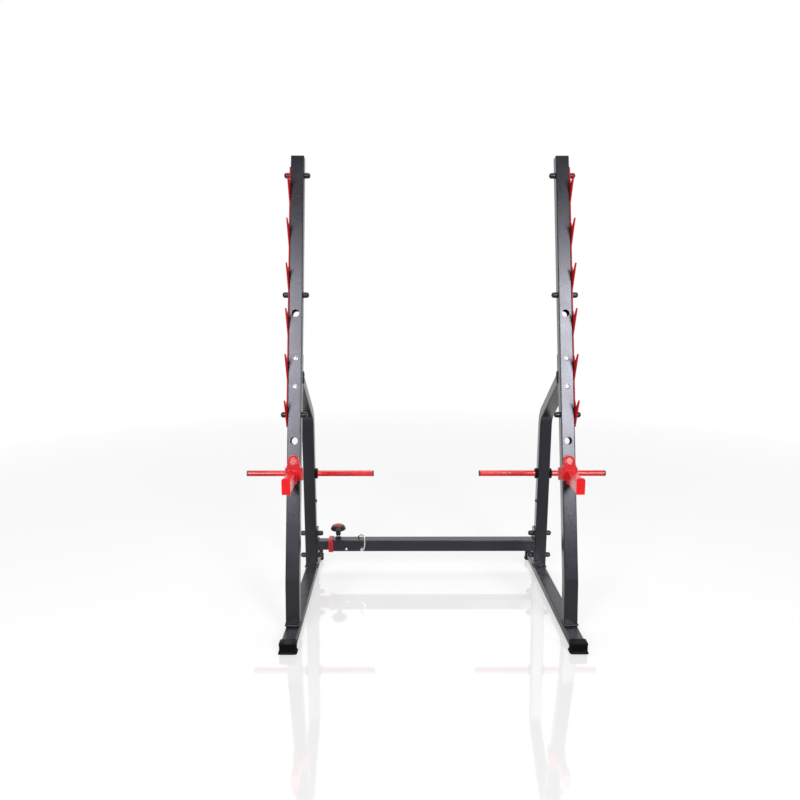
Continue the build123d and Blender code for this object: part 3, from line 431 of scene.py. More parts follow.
@dataclass(frozen=True)
class Plated(Finish):
    """Zinc or chrome plate over turned or drawn steel."""

    drawn_scale: float = 260.0
    drawn_threshold: float = 0.5
    drawn_depth: float = 0.2
    drawn_roughness: float = 0.3

    def _vary(self, graph: Graph, effects: Effects, surface: Surface) -> Surface:
        """Add the fine lines that drawing or turning leaves.

        Args:
            graph: The material's graph.
            effects: The shared node groups.
            surface: The surface so far.

        Returns:
            The lined surface.
        """
        lines = graph.group(effects.scratches, {
            "Width Scale": self.drawn_scale, "Threshold": self.drawn_threshold})
        mask = graph.product(lines.outputs["Mask"], self.drawn_depth)
        roughness = graph.maths("ADD", surface.roughness, graph.product(mask, self.drawn_roughness))
        return replace(surface, roughness=roughness, height=graph.maths("ADD", surface.height, mask))


GRAPHITE = PowderCoat(
    "graphite_powder_coat", Slot.FRAME_PAINT,
    (0.0085, 0.0082, 0.0110), (0.0112, 0.0109, 0.0142), (0.040, 0.041, 0.048),
    roughness=0.28, roughness_spread=0.03, grain_scale=1100.0, grain_depth=0.08, edge_amount=0.45,
    reflectance=0.70, sheen_colour=(0.88, 0.87, 1.0), dust_amount=0.08)
RED_GLOSS = PowderCoat(
    "red_powder_coat", Slot.RED_PAINT, (0.68, 0.004, 0.009), (0.74, 0.005, 0.011), (0.80, 0.05, 0.06),
    roughness=0.30, grain_depth=0.07, edge_amount=0.4)
RED_SATIN = PowderCoat(
    "satin_red_powder_coat", Slot.RED_PAINT, (0.42, 0.004, 0.009), (0.47, 0.005, 0.011), (0.60, 0.05, 0.06),
    roughness=0.50, grain_depth=0.07, edge_amount=0.4, reflectance=0.20)
# The pale pink edge colour is a painted highlight round the spotter pin's edges; the gloss itself is real.
RED_SHINY_PAINTED_EDGE_HIGHLIGHT = PowderCoat(
    "shiny_red_powder_coat_painted_edge_highlight", Slot.RED_PAINT,
    (0.46, 0.004, 0.009), (0.51, 0.005, 0.011), (0.88, 0.34, 0.32),
    roughness=0.26, grain_depth=0.06, edge_amount=0.9, edge_radius=1.6 * MM, reflectance=0.55)
# The pale edge colour is a painted highlight: the saddle's edges are lightened to stand in for light catching
# them.
RED_PAINTED_EDGE_HIGHLIGHT = PowderCoat(
    "red_powder_coat_painted_edge_highlight", Slot.RED_PAINT,
    (0.46, 0.004, 0.009), (0.51, 0.005, 0.011), (0.95, 0.62, 0.58),
    roughness=0.38, grain_depth=0.06, edge_amount=1.0, edge_radius=3.0 * MM, reflectance=0.12)
RED_RUBBED = RubbedPaint(
    "rubbed_red_powder_coat", Slot.RED_PAINT,
    (0.66, 0.004, 0.009), (0.72, 0.005, 0.011), (0.80, 0.06, 0.07),
    roughness=0.24, grain_depth=0.08, reflectance=0.75)
BLACK_MOULDED = Moulded(
    "black_moulded_plastic", Slot.BLACK_PLASTIC,
    (0.005, 0.005, 0.0055), (0.007, 0.007, 0.0077), (0.03, 0.03, 0.031),
    roughness=0.36, grain_depth=0.10, edge_amount=0.3, edge_radius=0.8 * MM, dust_amount=0.06)
RED_MOULDED = Moulded(
    "red_moulded_plastic", Slot.RED_PLASTIC, (0.48, 0.010, 0.020), (0.54, 0.012, 0.024), (0.70, 0.08, 0.09),
    roughness=0.34, edge_amount=0.4)
DARK_RED_MOULDED = Moulded(
    "dark_red_moulded_plastic", Slot.RED_PLASTIC,
    (0.27, 0.008, 0.012), (0.33, 0.010, 0.016), (0.50, 0.08, 0.09),
    roughness=0.32, edge_amount=0.3)
BLACK_RUBBER = Moulded(
    "black_moulded_rubber", Slot.RUBBER,
    (0.0016, 0.0014, 0.0013), (0.0026, 0.0023, 0.0021), (0.012, 0.011, 0.010),
    roughness=0.58, roughness_spread=0.08, grain_scale=700.0, grain_depth=0.16,
    reflectance=0.10, dust_amount=0.10)
DULL_ZINC = Plated(
    "dull_zinc_plate", Slot.ZINC, (0.80, 0.80, 0.82), (0.86, 0.86, 0.87), (0.90, 0.90, 0.90),
    roughness=0.46, metallic=1.0, edge_amount=0.4, dust_amount=0.03)
BRIGHT_ZINC = Plated(
    "bright_zinc_plate", Slot.ZINC, (0.70, 0.71, 0.73), (0.80, 0.80, 0.81), (0.88, 0.88, 0.88),
    roughness=0.24, metallic=1.0, edge_amount=0.4, dust_amount=0.05)
BRUSHED_CHROME = Plated(
    "brushed_chrome_plate", Slot.CHROME, (0.84, 0.84, 0.86), (0.90, 0.90, 0.91), (0.93, 0.93, 0.93),
    roughness=0.42, metallic=1.0, grain_depth=0.03, edge_amount=0.2, dust_amount=0.02)
POLISHED_CHROME = Plated(
    "polished_chrome_plate", Slot.CHROME, (0.76, 0.77, 0.79), (0.82, 0.82, 0.84), (0.90, 0.90, 0.90),
    roughness=0.10, roughness_spread=0.03, metallic=1.0, grain_depth=0.03, edge_amount=0.2, dust_amount=0.03)


class Paintshop:
    """Builds each finish once and hands out its material."""

    def __init__(self) -> None:
        """Build the shared effects."""
        self.effects = Effects()
        self._made: dict[str, bpy.types.Material] = {}

    def of(self, finish: Finish) -> bpy.types.Material:
        """Find a finish's material, built on its first use.

        Args:
            finish: The finish.

        Returns:
            Its material.
        """
        if finish.name not in self._made:
            self._made[finish.name] = finish.material(self.effects)
        return self._made[finish.name]

    def coat_node(self, node: str, finish: Finish) -> None:
        """Give a CAD node's material slots a finish."""
        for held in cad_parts[node].material_slots:
            held.material = self.of(finish)

    def coat_piece(self, piece: bpy.types.Object, finish: Finish) -> None:
        """Give a new piece its only finish.

        Args:
            piece: The piece.
            finish: Its finish.
        """
        piece.data.materials.clear()
        piece.data.materials.append(self.of(finish))


# ------------------------------------------------------------------------------ reading the frame
def node_points(node: str) -> np.ndarray:
    """Read the vertices of a CAD node, as they stand in the frame.

    Args:
        node: The CAD node.

    Returns:
        The vertices, one row each.
    """
    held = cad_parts[node]
    flat = np.empty(3 * len(held.data.vertices))
    held.data.vertices.foreach_get("co", flat)
    matrix = np.array(held.matrix_world)
    return flat.reshape(-1, 3) @ matrix[:3, :3].T + matrix[:3, 3]


def islands(node: str) -> list[np.ndarray]:
    """Sort the vertices of a CAD node by the separate solids that they belong to.

    Args:
        node: The CAD node.

    Returns:
        Each solid's vertices, one row each.
    """
    points = node_points(node)
    keys = [tuple(key) for key in np.round(points / SAME_PLACE).astype(int)]
    owner = {key: key for key in keys}

    def first_of(key: tuple) -> tuple:
        """Return the key that stands for a key's whole solid."""
        while owner[key] != key:
            owner[key] = owner[owner[key]]
            key = owner[key]
        return key

    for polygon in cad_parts[node].data.polygons:
        lead, *rest = (keys[index] for index in polygon.vertices)
        for key in rest:
            owner[first_of(key)] = first_of(lead)
    groups: dict[tuple, list] = {}
    for key, point in zip(keys, points):
        groups.setdefault(first_of(key), []).append(point)
    return [np.array(group) for group in groups.values()]


def middle(node: str) -> Vector:
    """Return the middle of a CAD node's box."""
    low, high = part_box(node)
    return (Vector(low) + Vector(high)) / 2


def upright_back(side: Side) -> Vector:
    """Work out the way the upright's back face looks, from the tilt of the strut's flange.

    Args:
        side: The side frame.

    Returns:
        The back face's normal.
    """
    points = node_points(side.node("strut_flange"))
    points = points - points.mean(axis=0)
    _, _, axes = np.linalg.svd(points[:, 1:])
    normal = Vector((0.0, float(axes[1][0]), float(axes[1][1])))
    return normal if normal.y > 0 else -normal


@dataclass(frozen=True)
class Site:
    """Where a repeated piece sits and which way it faces."""

    place: Vector
    axis: Vector


def outline_on_plane(node: str, normal: Vector, reach: float = 0.2 * MM, decimals: int = 6) -> list[Vector]:
    """Return the rounded outline of a CAD node where it ends against a plane.

    Args:
        node: The CAD node.
        normal: The plane's normal; the plane passes through the node's furthest vertex along it.
        reach: How far behind the plane a vertex still counts.
        decimals: The places in the plane are rounded to so many decimals of a metre.

    Returns:
        The corners of the convex outline, in order round the normal.
    """
    across = normal.orthogonal().normalized()
    along = normal.cross(across)
    points = node_points(node)
    heights = points @ np.array(normal)
    ends = points[heights > heights.max() - reach]
    u_axis, v_axis = np.array(across), np.array(along)
    flat = sorted({(round(float(p @ u_axis), decimals), round(float(p @ v_axis), decimals)) for p in ends})

    def half(ordered: Iterable[tuple]) -> list[tuple]:
        """Return one side of the outline: the points where it turns left."""
        chain: list[tuple] = []
        for p in ordered:
            while len(chain) > 1 and _turn(chain[-2], chain[-1], p) <= 0:
                chain.pop()
            chain.append(p)
        return chain[:-1]

    hull = half(flat) + half(reversed(flat))
    return [across * u + along * v + normal * float(heights.max()) for u, v in hull]


def _turn(a: tuple, b: tuple, c: tuple) -> float:
    """Return twice the signed area of a triangle."""
    return (b[0] - a[0]) * (c[1] - a[1]) - (b[1] - a[1]) * (c[0] - a[0])


def grown(loop: list[Vector], normal: Vector, distance: float) -> list[Vector]:
    """Move a closed outline outward in its plane.

    Args:
        loop: The outline's corners.
        normal: The plane's normal.
        distance: How far each corner moves.

    Returns:
        The moved corners.
    """
    result = []
    for before, here, after in zip(loop[-1:] + loop[:-1], loop, loop[1:] + loop[:1]):
        outward = (here - before).normalized().cross(normal) + (after - here).normalized().cross(normal)
        result.append(here + outward.normalized() * distance)
    return result


# ------------------------------------------------------------------------------ meshes
def finish_mesh(mesh: bpy.types.Mesh) -> bpy.types.Mesh:
    """Shade a mesh smoothly except across sharp edges.

    Args:
        mesh: The mesh.

    Returns:
        The same mesh.
    """
    mesh.polygons.foreach_set("use_smooth", [True] * len(mesh.polygons))
    mesh.set_sharp_from_angle(angle=math.radians(CREASE))
    mesh.update()
    return mesh


def spin(name: str, profile: Profile, segments: int = 48, hexed: Sequence[int] = ()) -> bpy.types.Mesh:
    """Turn a profile about Z.

    Args:
        name: The mesh's name.
        profile: Points of radius and height, from the axis at the bottom to the axis at the top.
        segments: Steps round the turn, a multiple of six.
        hexed: Indices of the points that run round a hexagon, their radius half its width.

    Returns:
        The closed mesh.
    """
    vertices: list[tuple] = []
    rows: list[list[int]] = []
    for index, (radius, height) in enumerate(profile):
        steps = segments if radius else 1
        rows.append([len(vertices) + step for step in range(steps)])
        for step in range(steps):
            angle = math.tau * step / steps
            reach = radius
            if index in hexed:
                reach /= math.cos((angle + math.pi / 6) % (math.pi / 3) - math.pi / 6)
            vertices.append((reach * math.cos(angle), reach * math.sin(angle), height))
    faces = []
    for low, high in zip(rows, rows[1:]):
        for step in range(segments):
            after = step + 1
            ring = (low[step % len(low)], low[after % len(low)],
                    high[after % len(high)], high[step % len(high)])
            faces.append(tuple(dict.fromkeys(ring)))
    mesh = bpy.data.meshes.new(name)
    mesh.from_pydata(vertices, [], faces)
    return finish_mesh(mesh)


def arc(centre: tuple[float, float], radius: float, start: float, end: float, steps: int) -> list[tuple]:
    """Return points of radius and height on an arc, angles in degrees from the radius direction."""
    angles = [math.radians(start + (end - start) * step / steps) for step in range(steps + 1)]
    return [(centre[0] + radius * math.cos(angle), centre[1] + radius * math.sin(angle)) for angle in angles]


def rounded_loop(width: float, height: float, corner: float, steps: int = 6) -> list[tuple[float, float]]:
    """Set out a rounded rectangle about the origin, anticlockwise.

    Args:
        width: Its size along X.
        height: Its size along Y.
        corner: Its corners' radius.
        steps: Steps round each corner.

    Returns:
        The outline's points.
    """
    loop = []
    for start, (side, level) in enumerate(((1, 1), (-1, 1), (-1, -1), (1, -1))):
        centre = (side * (width / 2 - corner), level * (height / 2 - corner))
        loop += arc(centre, corner, 90 * start, 90 * start + 90, steps)
    return loop


def banded(name: str, loops: Sequence[Sequence[Vector]]) -> bpy.types.Mesh:
    """Skin a row of matching closed loops, and fill the first and the last.

    Args:
        name: The mesh's name.
        loops: Loops of equal length, in order.

    Returns:
        The mesh.
    """
    size = len(loops[0])
    vertices = [tuple(point) for loop in loops for point in loop]
    last = (len(loops) - 1) * size
    faces = []
    for low in range(0, last, size):
        high = low + size
        for step in range(size):
            after = (step + 1) % size
            faces.append((low + step, low + after, high + after, high + step))
    faces.append(tuple(reversed(range(size))))
    faces.append(tuple(range(last, last + size)))
    mesh = bpy.data.meshes.new(name)
    mesh.from_pydata(vertices, [], faces)
    return finish_mesh(mesh)


def show(name: str, data: bpy.types.ID) -> bpy.types.Object:
    """Put a mesh, a light or a camera in the scene.

    Args:
        name: The new object's name.
        data: What it shows.

    Returns:
        The new object.
    """
    piece = bpy.data.objects.new(name, data)
    bpy.context.scene.collection.objects.link(piece)
    return piece


# ------------------------------------------------------------------------------ repeats
@dataclass(frozen=True)
class BeadSizes:
    """A weld bead: its lumps' size, spacing and unevenness, and how far out and above the joint it runs."""

    radius: float
    spacing: float
    outset: float = 0.8 * MM
    lift: float = 0.0
    unevenness: float = 0.22


class Repeats:
    """The Geometry Nodes trees for what repeats, and the bake of their results to plain meshes."""

    def __init__(self) -> None:
        """Build both trees."""
        self.set_out = self._set_out_tree()
        self.bead = self._bead_tree()

    @staticmethod
    def _tree(name: str, sockets: dict[str, tuple[str, object]]) -> tuple[Graph, bpy.types.Node]:
        """Start a tree.

        Args:
            name: The tree's name.
            sockets: Each named input's kind and usual value.

        Returns:
            The tree's graph and its input node.
        """
        tree = bpy.data.node_groups.new(name, "GeometryNodeTree")
        tree.interface.new_socket("Geometry", in_out="INPUT", socket_type="NodeSocketGeometry")
        for label, (kind, value) in sockets.items():
            socket = tree.interface.new_socket(label, in_out="INPUT", socket_type=f"NodeSocket{kind}")
            if value is not None:
                socket.default_value = value
        tree.interface.new_socket("Geometry", in_out="OUTPUT", socket_type="NodeSocketGeometry")
        graph = Graph(tree)
        return graph, graph.add("NodeGroupInput")

    @staticmethod
    def _end(graph: Graph, instances: bpy.types.NodeSocket, material: bpy.types.NodeSocket) -> None:
        """Make the instances real, give them their material and end the tree.

        Args:
            graph: The tree's graph.
            instances: The instances.
            material: Their material.
        """
        real = graph.add("GeometryNodeRealizeInstances", {"Geometry": instances})
        painted = graph.add("GeometryNodeSetMaterial", {"Geometry": real.outputs[0], "Material": material})
        graph.add("NodeGroupOutput", {"Geometry": painted.outputs[0]})

    def _set_out_tree(self) -> bpy.types.NodeTree:
        """Build the tree that sets a piece on every point, its Z along the point's axis.

        Returns:
            The tree.
        """
        graph, given = self._tree("set_out_pieces", {
            "Piece": ("Object", None), "Scale": ("Float", 1.0), "Turn": ("Float", 0.0), "Seed": ("Int", 7),
            "Material": ("Material", None)})
        piece = graph.add("GeometryNodeObjectInfo", {"Object": given.outputs["Piece"], "As Instance": True})
        axis = graph.add("GeometryNodeInputNamedAttribute", {"Name": "axis"}, data_type="FLOAT_VECTOR")
        facing = graph.add("FunctionNodeAlignRotationToVector", {
            "Vector": axis.outputs["Attribute"]}, axis="Z")
        turn = graph.add("FunctionNodeRandomValue", {"Seed": given.outputs["Seed"]}, data_type="FLOAT")
        graph.link(given.outputs["Turn"], turn.inputs[3])
        about = graph.add("ShaderNodeCombineXYZ", {"Z": turn.outputs[1]})
        own = graph.add("FunctionNodeEulerToRotation", {"Euler": about.outputs[0]})
        turned = graph.add("FunctionNodeRotateRotation", {
            "Rotation": facing.outputs[0], "Rotate By": own.outputs[0]}, rotation_space="LOCAL")
        placed = graph.add("GeometryNodeInstanceOnPoints", {
            "Points": given.outputs["Geometry"], "Instance": piece.outputs["Geometry"],
            "Rotation": turned.outputs[0], "Scale": given.outputs["Scale"]})
        self._end(graph, placed.outputs[0], given.outputs["Material"])
        return graph.tree

    def _bead_tree(self) -> bpy.types.NodeTree:
        """Build the tree that lays overlapping lumps of weld along an outline.

        Returns:
            The tree.
        """
        graph, given = self._tree("weld_bead", {
            "Radius": ("Float", 4.0 * MM), "Spacing": ("Float", 3.0 * MM), "Unevenness": ("Float", 0.2),
            "Seed": ("Int", 3), "Material": ("Material", None)})
        path = graph.add("GeometryNodeMeshToCurve", {"Mesh": given.outputs["Geometry"]})
        even = graph.add("GeometryNodeResampleCurve", {
            "Curve": path.outputs[0], "Length": given.outputs["Spacing"]}, mode="LENGTH")
        lump = graph.add("GeometryNodeMeshIcoSphere", {"Radius": given.outputs["Radius"], "Subdivisions": 3})
        smooth = graph.add("GeometryNodeSetShadeSmooth", {"Geometry": lump.outputs[0]})
        least = graph.maths("SUBTRACT", 1.0, given.outputs["Unevenness"])
        most = graph.maths("ADD", 1.0, given.outputs["Unevenness"])
        swell = graph.add("FunctionNodeRandomValue", {"Seed": given.outputs["Seed"]}, data_type="FLOAT")
        graph.link(least, swell.inputs[2])
        graph.link(most, swell.inputs[3])
        placed = graph.add("GeometryNodeInstanceOnPoints", {
            "Points": even.outputs[0], "Instance": smooth.outputs[0], "Scale": swell.outputs[1]})
        self._end(graph, placed.outputs[0], given.outputs["Material"])
        return graph.tree

    @staticmethod
    def bake(name: str, seed_mesh: bpy.types.Mesh, tree: bpy.types.NodeTree,
             values: dict[str, object]) -> bpy.types.Object:
        """Run a tree over a mesh and keep the result as a plain piece.

        Args:
            name: The piece's name.
            seed_mesh: The points or outlines that the tree works on.
            tree: The tree.
            values: The tree's inputs by their names.

        Returns:
            The new piece, with no modifier.
        """
        holder = show(f"{name}.source", seed_mesh)
        modifier = holder.modifiers.new("repeat", "NODES")
        modifier.node_group = tree
        sockets = {item.name: item.identifier for item in tree.interface.items_tree if item.in_out == "INPUT"}
        for label, value in values.items():
            modifier[sockets[label]] = value
        evaluated = holder.evaluated_get(bpy.context.evaluated_depsgraph_get())
        mesh = bpy.data.meshes.new_from_object(evaluated)
        mesh.name = name
        bpy.data.objects.remove(holder)
        return show(name, mesh)

    def set_on(self, name: str, piece_mesh: bpy.types.Mesh, sites: Sequence[Site],
               material: bpy.types.Material, turn: float = 0.0) -> bpy.types.Object:
        """Set a copy of a mesh on every site.

        Args:
            name: The new piece's name.
            piece_mesh: The mesh that repeats, its foot at the origin and its axis +Z.
            sites: Where the copies sit.
            material: Their material.
            turn: The widest random turn about the axis, in radians.

        Returns:
            One piece with every copy.
        """
        points = bpy.data.meshes.new(f"{name}.points")
        points.from_pydata([site.place for site in sites], [], [])
        axes = points.attributes.new("axis", "FLOAT_VECTOR", "POINT")
        axes.data.foreach_set("vector", [number for site in sites for number in site.axis])
        sample = show(f"{name}.sample", piece_mesh)
        piece = self.bake(name, points, self.set_out, {
            "Piece": sample, "Scale": 1.0, "Turn": turn, "Seed": len(sites), "Material": material})
        bpy.data.objects.remove(sample)
        return piece

    def weld(self, name: str, loops: Sequence[Sequence[Vector]], sizes: BeadSizes,
             material: bpy.types.Material) -> bpy.types.Object:
        """Lay a weld bead along each closed outline.

        Args:
            name: The new piece's name.
            loops: The outlines that the beads' middles follow.
            sizes: The beads' sizes.
            material: Their material.

        Returns:
            One piece with every bead.
        """
        vertices: list[Vector] = []
        edges: list[tuple[int, int]] = []
        for loop in loops:
            start = len(vertices)
            vertices += loop
            edges += [(start + step, start + (step + 1) % len(loop)) for step in range(len(loop))]
        mesh = bpy.data.meshes.new(f"{name}.outline")
        mesh.from_pydata(vertices, edges, [])
        return self.bake(name, mesh, self.bead, {
            "Radius": sizes.radius, "Spacing": sizes.spacing, "Unevenness": sizes.unevenness,
            "Seed": len(vertices), "Material": material})


# ------------------------------------------------------------------------------ sub-assemblies
class Dressing:
    """What every sub-assembly's pieces share: their finishes, their repeats and their hand-over."""

    def __init__(self, paintshop: Paintshop, repeats: Repeats) -> None:
        """Keep the finishes and the repeats."""
        self.paintshop = paintshop
        self.repeats = repeats

    def hand_over(self, piece: bpy.types.Object, finish: Finish, body: str, *replaced: str) -> None:
        """Coat a piece, let it ride on its body, stand it in for CAD nodes and report it.

        Args:
            piece: The piece.
            finish: Its finish.
            body: The body that it rides on.
            replaced: The CAD nodes that it stands in for.
        """
        self.paintshop.coat_piece(piece, finish)
        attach(piece, body)
        if replaced:
            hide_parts(*replaced)
        LOG.info("%s: %d faces on %s", piece.name, len(piece.data.polygons), body)


@dataclass(frozen=True)
class CapSizes:
    """A domed push-on cap; those further than off_middle from the upright's middle are on cross bolts."""

    lip: float = 0.3 * MM
    lip_height: float = 2.4 * MM
    rounding: float = 8.8 * MM
    dome_steps: int = 10
    off_middle: float = 15.0 * MM


@dataclass(frozen=True)
class DomeSizes:
    """A dome head with a hexagon socket; the flat and the drilled cone are shares of the socket's size."""

    shank: float
    socket: float
    socket_depth: float = 3.0 * MM
    socket_edge: float = 0.25 * MM
    rim: float = 0.6 * MM
    seat_edge: float = 0.3 * MM
    flat_share: float = 1.45
    cone_share: float = 1.15
    head_margin: float = 0.5 * MM
    steps: int = 10


class Fasteners(Dressing):
    """The bolt caps, the dome-headed bolts and the liner screw."""

    caps = CapSizes()
    strut_bolt = DomeSizes(shank=10.0 * MM, socket=5.0 * MM)
    screw = DomeSizes(shank=6.0 * MM, socket=4.0 * MM, socket_depth=2.0 * MM, rim=0.4 * MM)

    def build(self) -> None:
        """Build the fasteners of both side frames and of the crossbar."""
        for side in Side:
            self._bolt_caps(side)
            self._strut_bolts(side)
        self._liner_screw()

    def _cap_mesh(self, diameter: float, length: float) -> bpy.types.Mesh:
        """Build a cap with a slight lip at its open end and a domed tip.

        Args:
            diameter: The lip's diameter.
            length: The cap's length.

        Returns:
            The cap's mesh, its open end at the origin.
        """
        sizes = self.caps
        radius = diameter / 2
        wall = radius - sizes.lip
        dome = arc((wall - sizes.rounding, length - sizes.rounding), sizes.rounding, 0, 90, sizes.dome_steps)
        profile = [(0.0, 0.0), (radius - 2 * sizes.lip, 0.0), (radius, sizes.lip), (radius, sizes.lip_height),
                   (wall, sizes.lip_height + sizes.lip), *dome, (0.0, length)]
        return spin("bolt_cap", profile)

    def _bolt_caps(self, side: Side) -> None:
        """Replace the side's bolt caps.

        Args:
            side: The side frame.
        """
        back = upright_back(side)
        frame_x = middle(side.node("upright")).x
        sites = []
        for points in islands(side.node("bolt_caps")):
            centre = Vector((points.min(axis=0) + points.max(axis=0)) / 2)
            offset = centre.x - frame_x
            outward = Vector((math.copysign(1.0, offset), 0.0, 0.0))
            axis = outward if abs(offset) > self.caps.off_middle else back
            spans = points @ np.array(axis)
            length = float(spans.max() - spans.min())
            sites.append((Site(centre - axis * length / 2, axis), length, points))
        _, length, points = sites[0]
        diameter = float(points[:, 2].max() - points[:, 2].min())
        mesh = self._cap_mesh(diameter, length)
        piece = self.repeats.set_on(side.node("cap_set"), mesh, [site for site, _, _ in sites],
                                    self.paintshop.of(BLACK_MOULDED), math.tau)
        self.hand_over(piece, BLACK_MOULDED, side.frame_body, side.node("bolt_caps"))

    def _dome_bolt(self, name: str, points: np.ndarray, axis: Vector,
                   sizes: DomeSizes) -> tuple[bpy.types.Mesh, Site]:
        """Measure a dome-headed bolt from its CAD solid and build it.

        Args:
            name: The mesh's name.
            points: The solid's vertices.
            axis: The way its head looks.
            sizes: The sizes that aren't measured.

        Returns:
            The bolt's mesh, its head's seat at the origin, and where that seat is.
        """
        spans = points @ np.array(axis)
        off_axis = points - np.outer(spans, np.array(axis))
        centre = (off_axis.min(axis=0) + off_axis.max(axis=0)) / 2
        reach = np.linalg.norm(off_axis - centre, axis=1)
        head = reach > sizes.shank / 2 + sizes.head_margin
        radius = float(reach[head].max())
        seat = float(spans[head].min())
        height = float(spans.max()) - seat
        foot = float(spans.min()) - seat
        curve = (radius ** 2 + height ** 2) / (2 * height)
        socket = sizes.socket / 2
        dome = []
        for step in range(sizes.steps + 1):
            out = radius + (socket * sizes.flat_share - radius) * step / sizes.steps
            dome.append((out, max(sizes.rim, math.sqrt(curve ** 2 - out ** 2) - curve + height)))
        top = dome[-1][1]
        profile = [(0.0, foot), (sizes.shank / 2, foot), (sizes.shank / 2, 0.0),
                   (radius - sizes.seat_edge, 0.0), *dome, (socket, top - sizes.socket_edge),
                   (socket, top - sizes.socket_depth), (0.0, top - sizes.cone_share * sizes.socket_depth)]
        hexed = (len(profile) - 3, len(profile) - 2)
        return spin(name, profile, hexed=hexed), Site(Vector(centre) + axis * seat, axis)

    def _strut_bolts(self, side: Side) -> None:
        """Replace the side's dome-headed strut bolts.

        Args:
            side: The side frame.
        """
        axis = -upright_back(side)
        made = [self._dome_bolt("strut_bolt", points, axis, self.strut_bolt)
                for points in islands(side.node("strut_bolts"))]
        piece = self.repeats.set_on(side.node("dome_bolts"), made[0][0], [site for _, site in made],
                                    self.paintshop.of(DULL_ZINC), math.tau)
        self.hand_over(piece, DULL_ZINC, side.frame_body, side.node("strut_bolts"))

    def _liner_screw(self) -> None:
        """Replace the crossbar's liner screw."""
        front = Vector((0.0, -1.0, 0.0))
        mesh, site = self._dome_bolt("screw", node_points("liner_screw"), front, self.screw)
        piece = self.repeats.set_on("socket_screw", mesh, [site], self.paintshop.of(BRIGHT_ZINC))
        self.hand_over(piece, BRIGHT_ZINC, Side.RIGHT.frame_body, "liner_screw")


class Welds(Dressing):
    """The weld beads where tubes and plates meet."""

    foot = BeadSizes(radius=5.2 * MM, spacing=4.2 * MM, outset=-1.6 * MM, lift=4.6 * MM)
    joint = BeadSizes(radius=3.8 * MM, spacing=3.0 * MM)
    fine = BeadSizes(radius=2.6 * MM, spacing=2.1 * MM)

    def build(self) -> None:
        """Lay every bead."""
        down = Vector((0.0, 0.0, -1.0))
        for side in Side:
            back = upright_back(side)
            inward = Vector((-1.0 if side is Side.RIGHT else 1.0, 0.0, 0.0))
            self._bead(side.node("upright_weld"), side.frame_body, GRAPHITE, self.foot,
                       [(side.node("upright"), down)])
            cross = "crossbar_sleeve" if side is Side.RIGHT else "crossbar_inner_tube"
            self._bead(side.node("strut_welds"), side.frame_body, GRAPHITE, self.joint,
                       [(side.node("rear_strut"), down), (side.node("rear_strut"), -back), (cross, -inward)])
            self._bead(side.node("spotter_welds"), side.spotter_body, RED_GLOSS, self.fine,
                       [(side.node("spotter_arm"), back)])
        self._bead("boss_weld", Side.RIGHT.frame_body, GRAPHITE, self.fine, [("clamp_boss", down)])

    def _bead(self, name: str, body: str, finish: Finish, sizes: BeadSizes,
              ends: Sequence[tuple[str, Vector]]) -> None:
        """Lay one piece of beads round the ends of CAD nodes.

        Args:
            name: The piece's name.
            body: The body that it rides on.
            finish: Its finish.
            sizes: The beads' sizes.
            ends: Each CAD node and the way that its welded end looks.
        """
        loops = []
        for node, normal in ends:
            outline = grown(outline_on_plane(node, normal), normal, sizes.outset)
            loops.append([point - sizes.lift * normal for point in outline])
        piece = self.repeats.weld(name, loops, sizes, self.paintshop.of(finish))
        self.hand_over(piece, finish, body)


@dataclass(frozen=True)
class BootSizes:
    """A moulded boot: its flared skirt, its lip and the sunk panel on its end face."""

    corner: float = 5.0 * MM
    least_corner: float = 0.4 * MM
    skirt: float = 9.0 * MM
    skirt_steps: int = 5
    skirt_curve: float = 1.5
    sole_edge: float = 0.8 * MM
    lip: float = 0.8 * MM
    lip_band: float = 9.0 * MM
    rounding: float = 4.4 * MM
    rounding_steps: int = 6
    panel_margin: float = 3.6 * MM
    panel_bevel: float = 0.8 * MM
    panel_depth: float = 2.2 * MM
    end_facing: float = 0.99


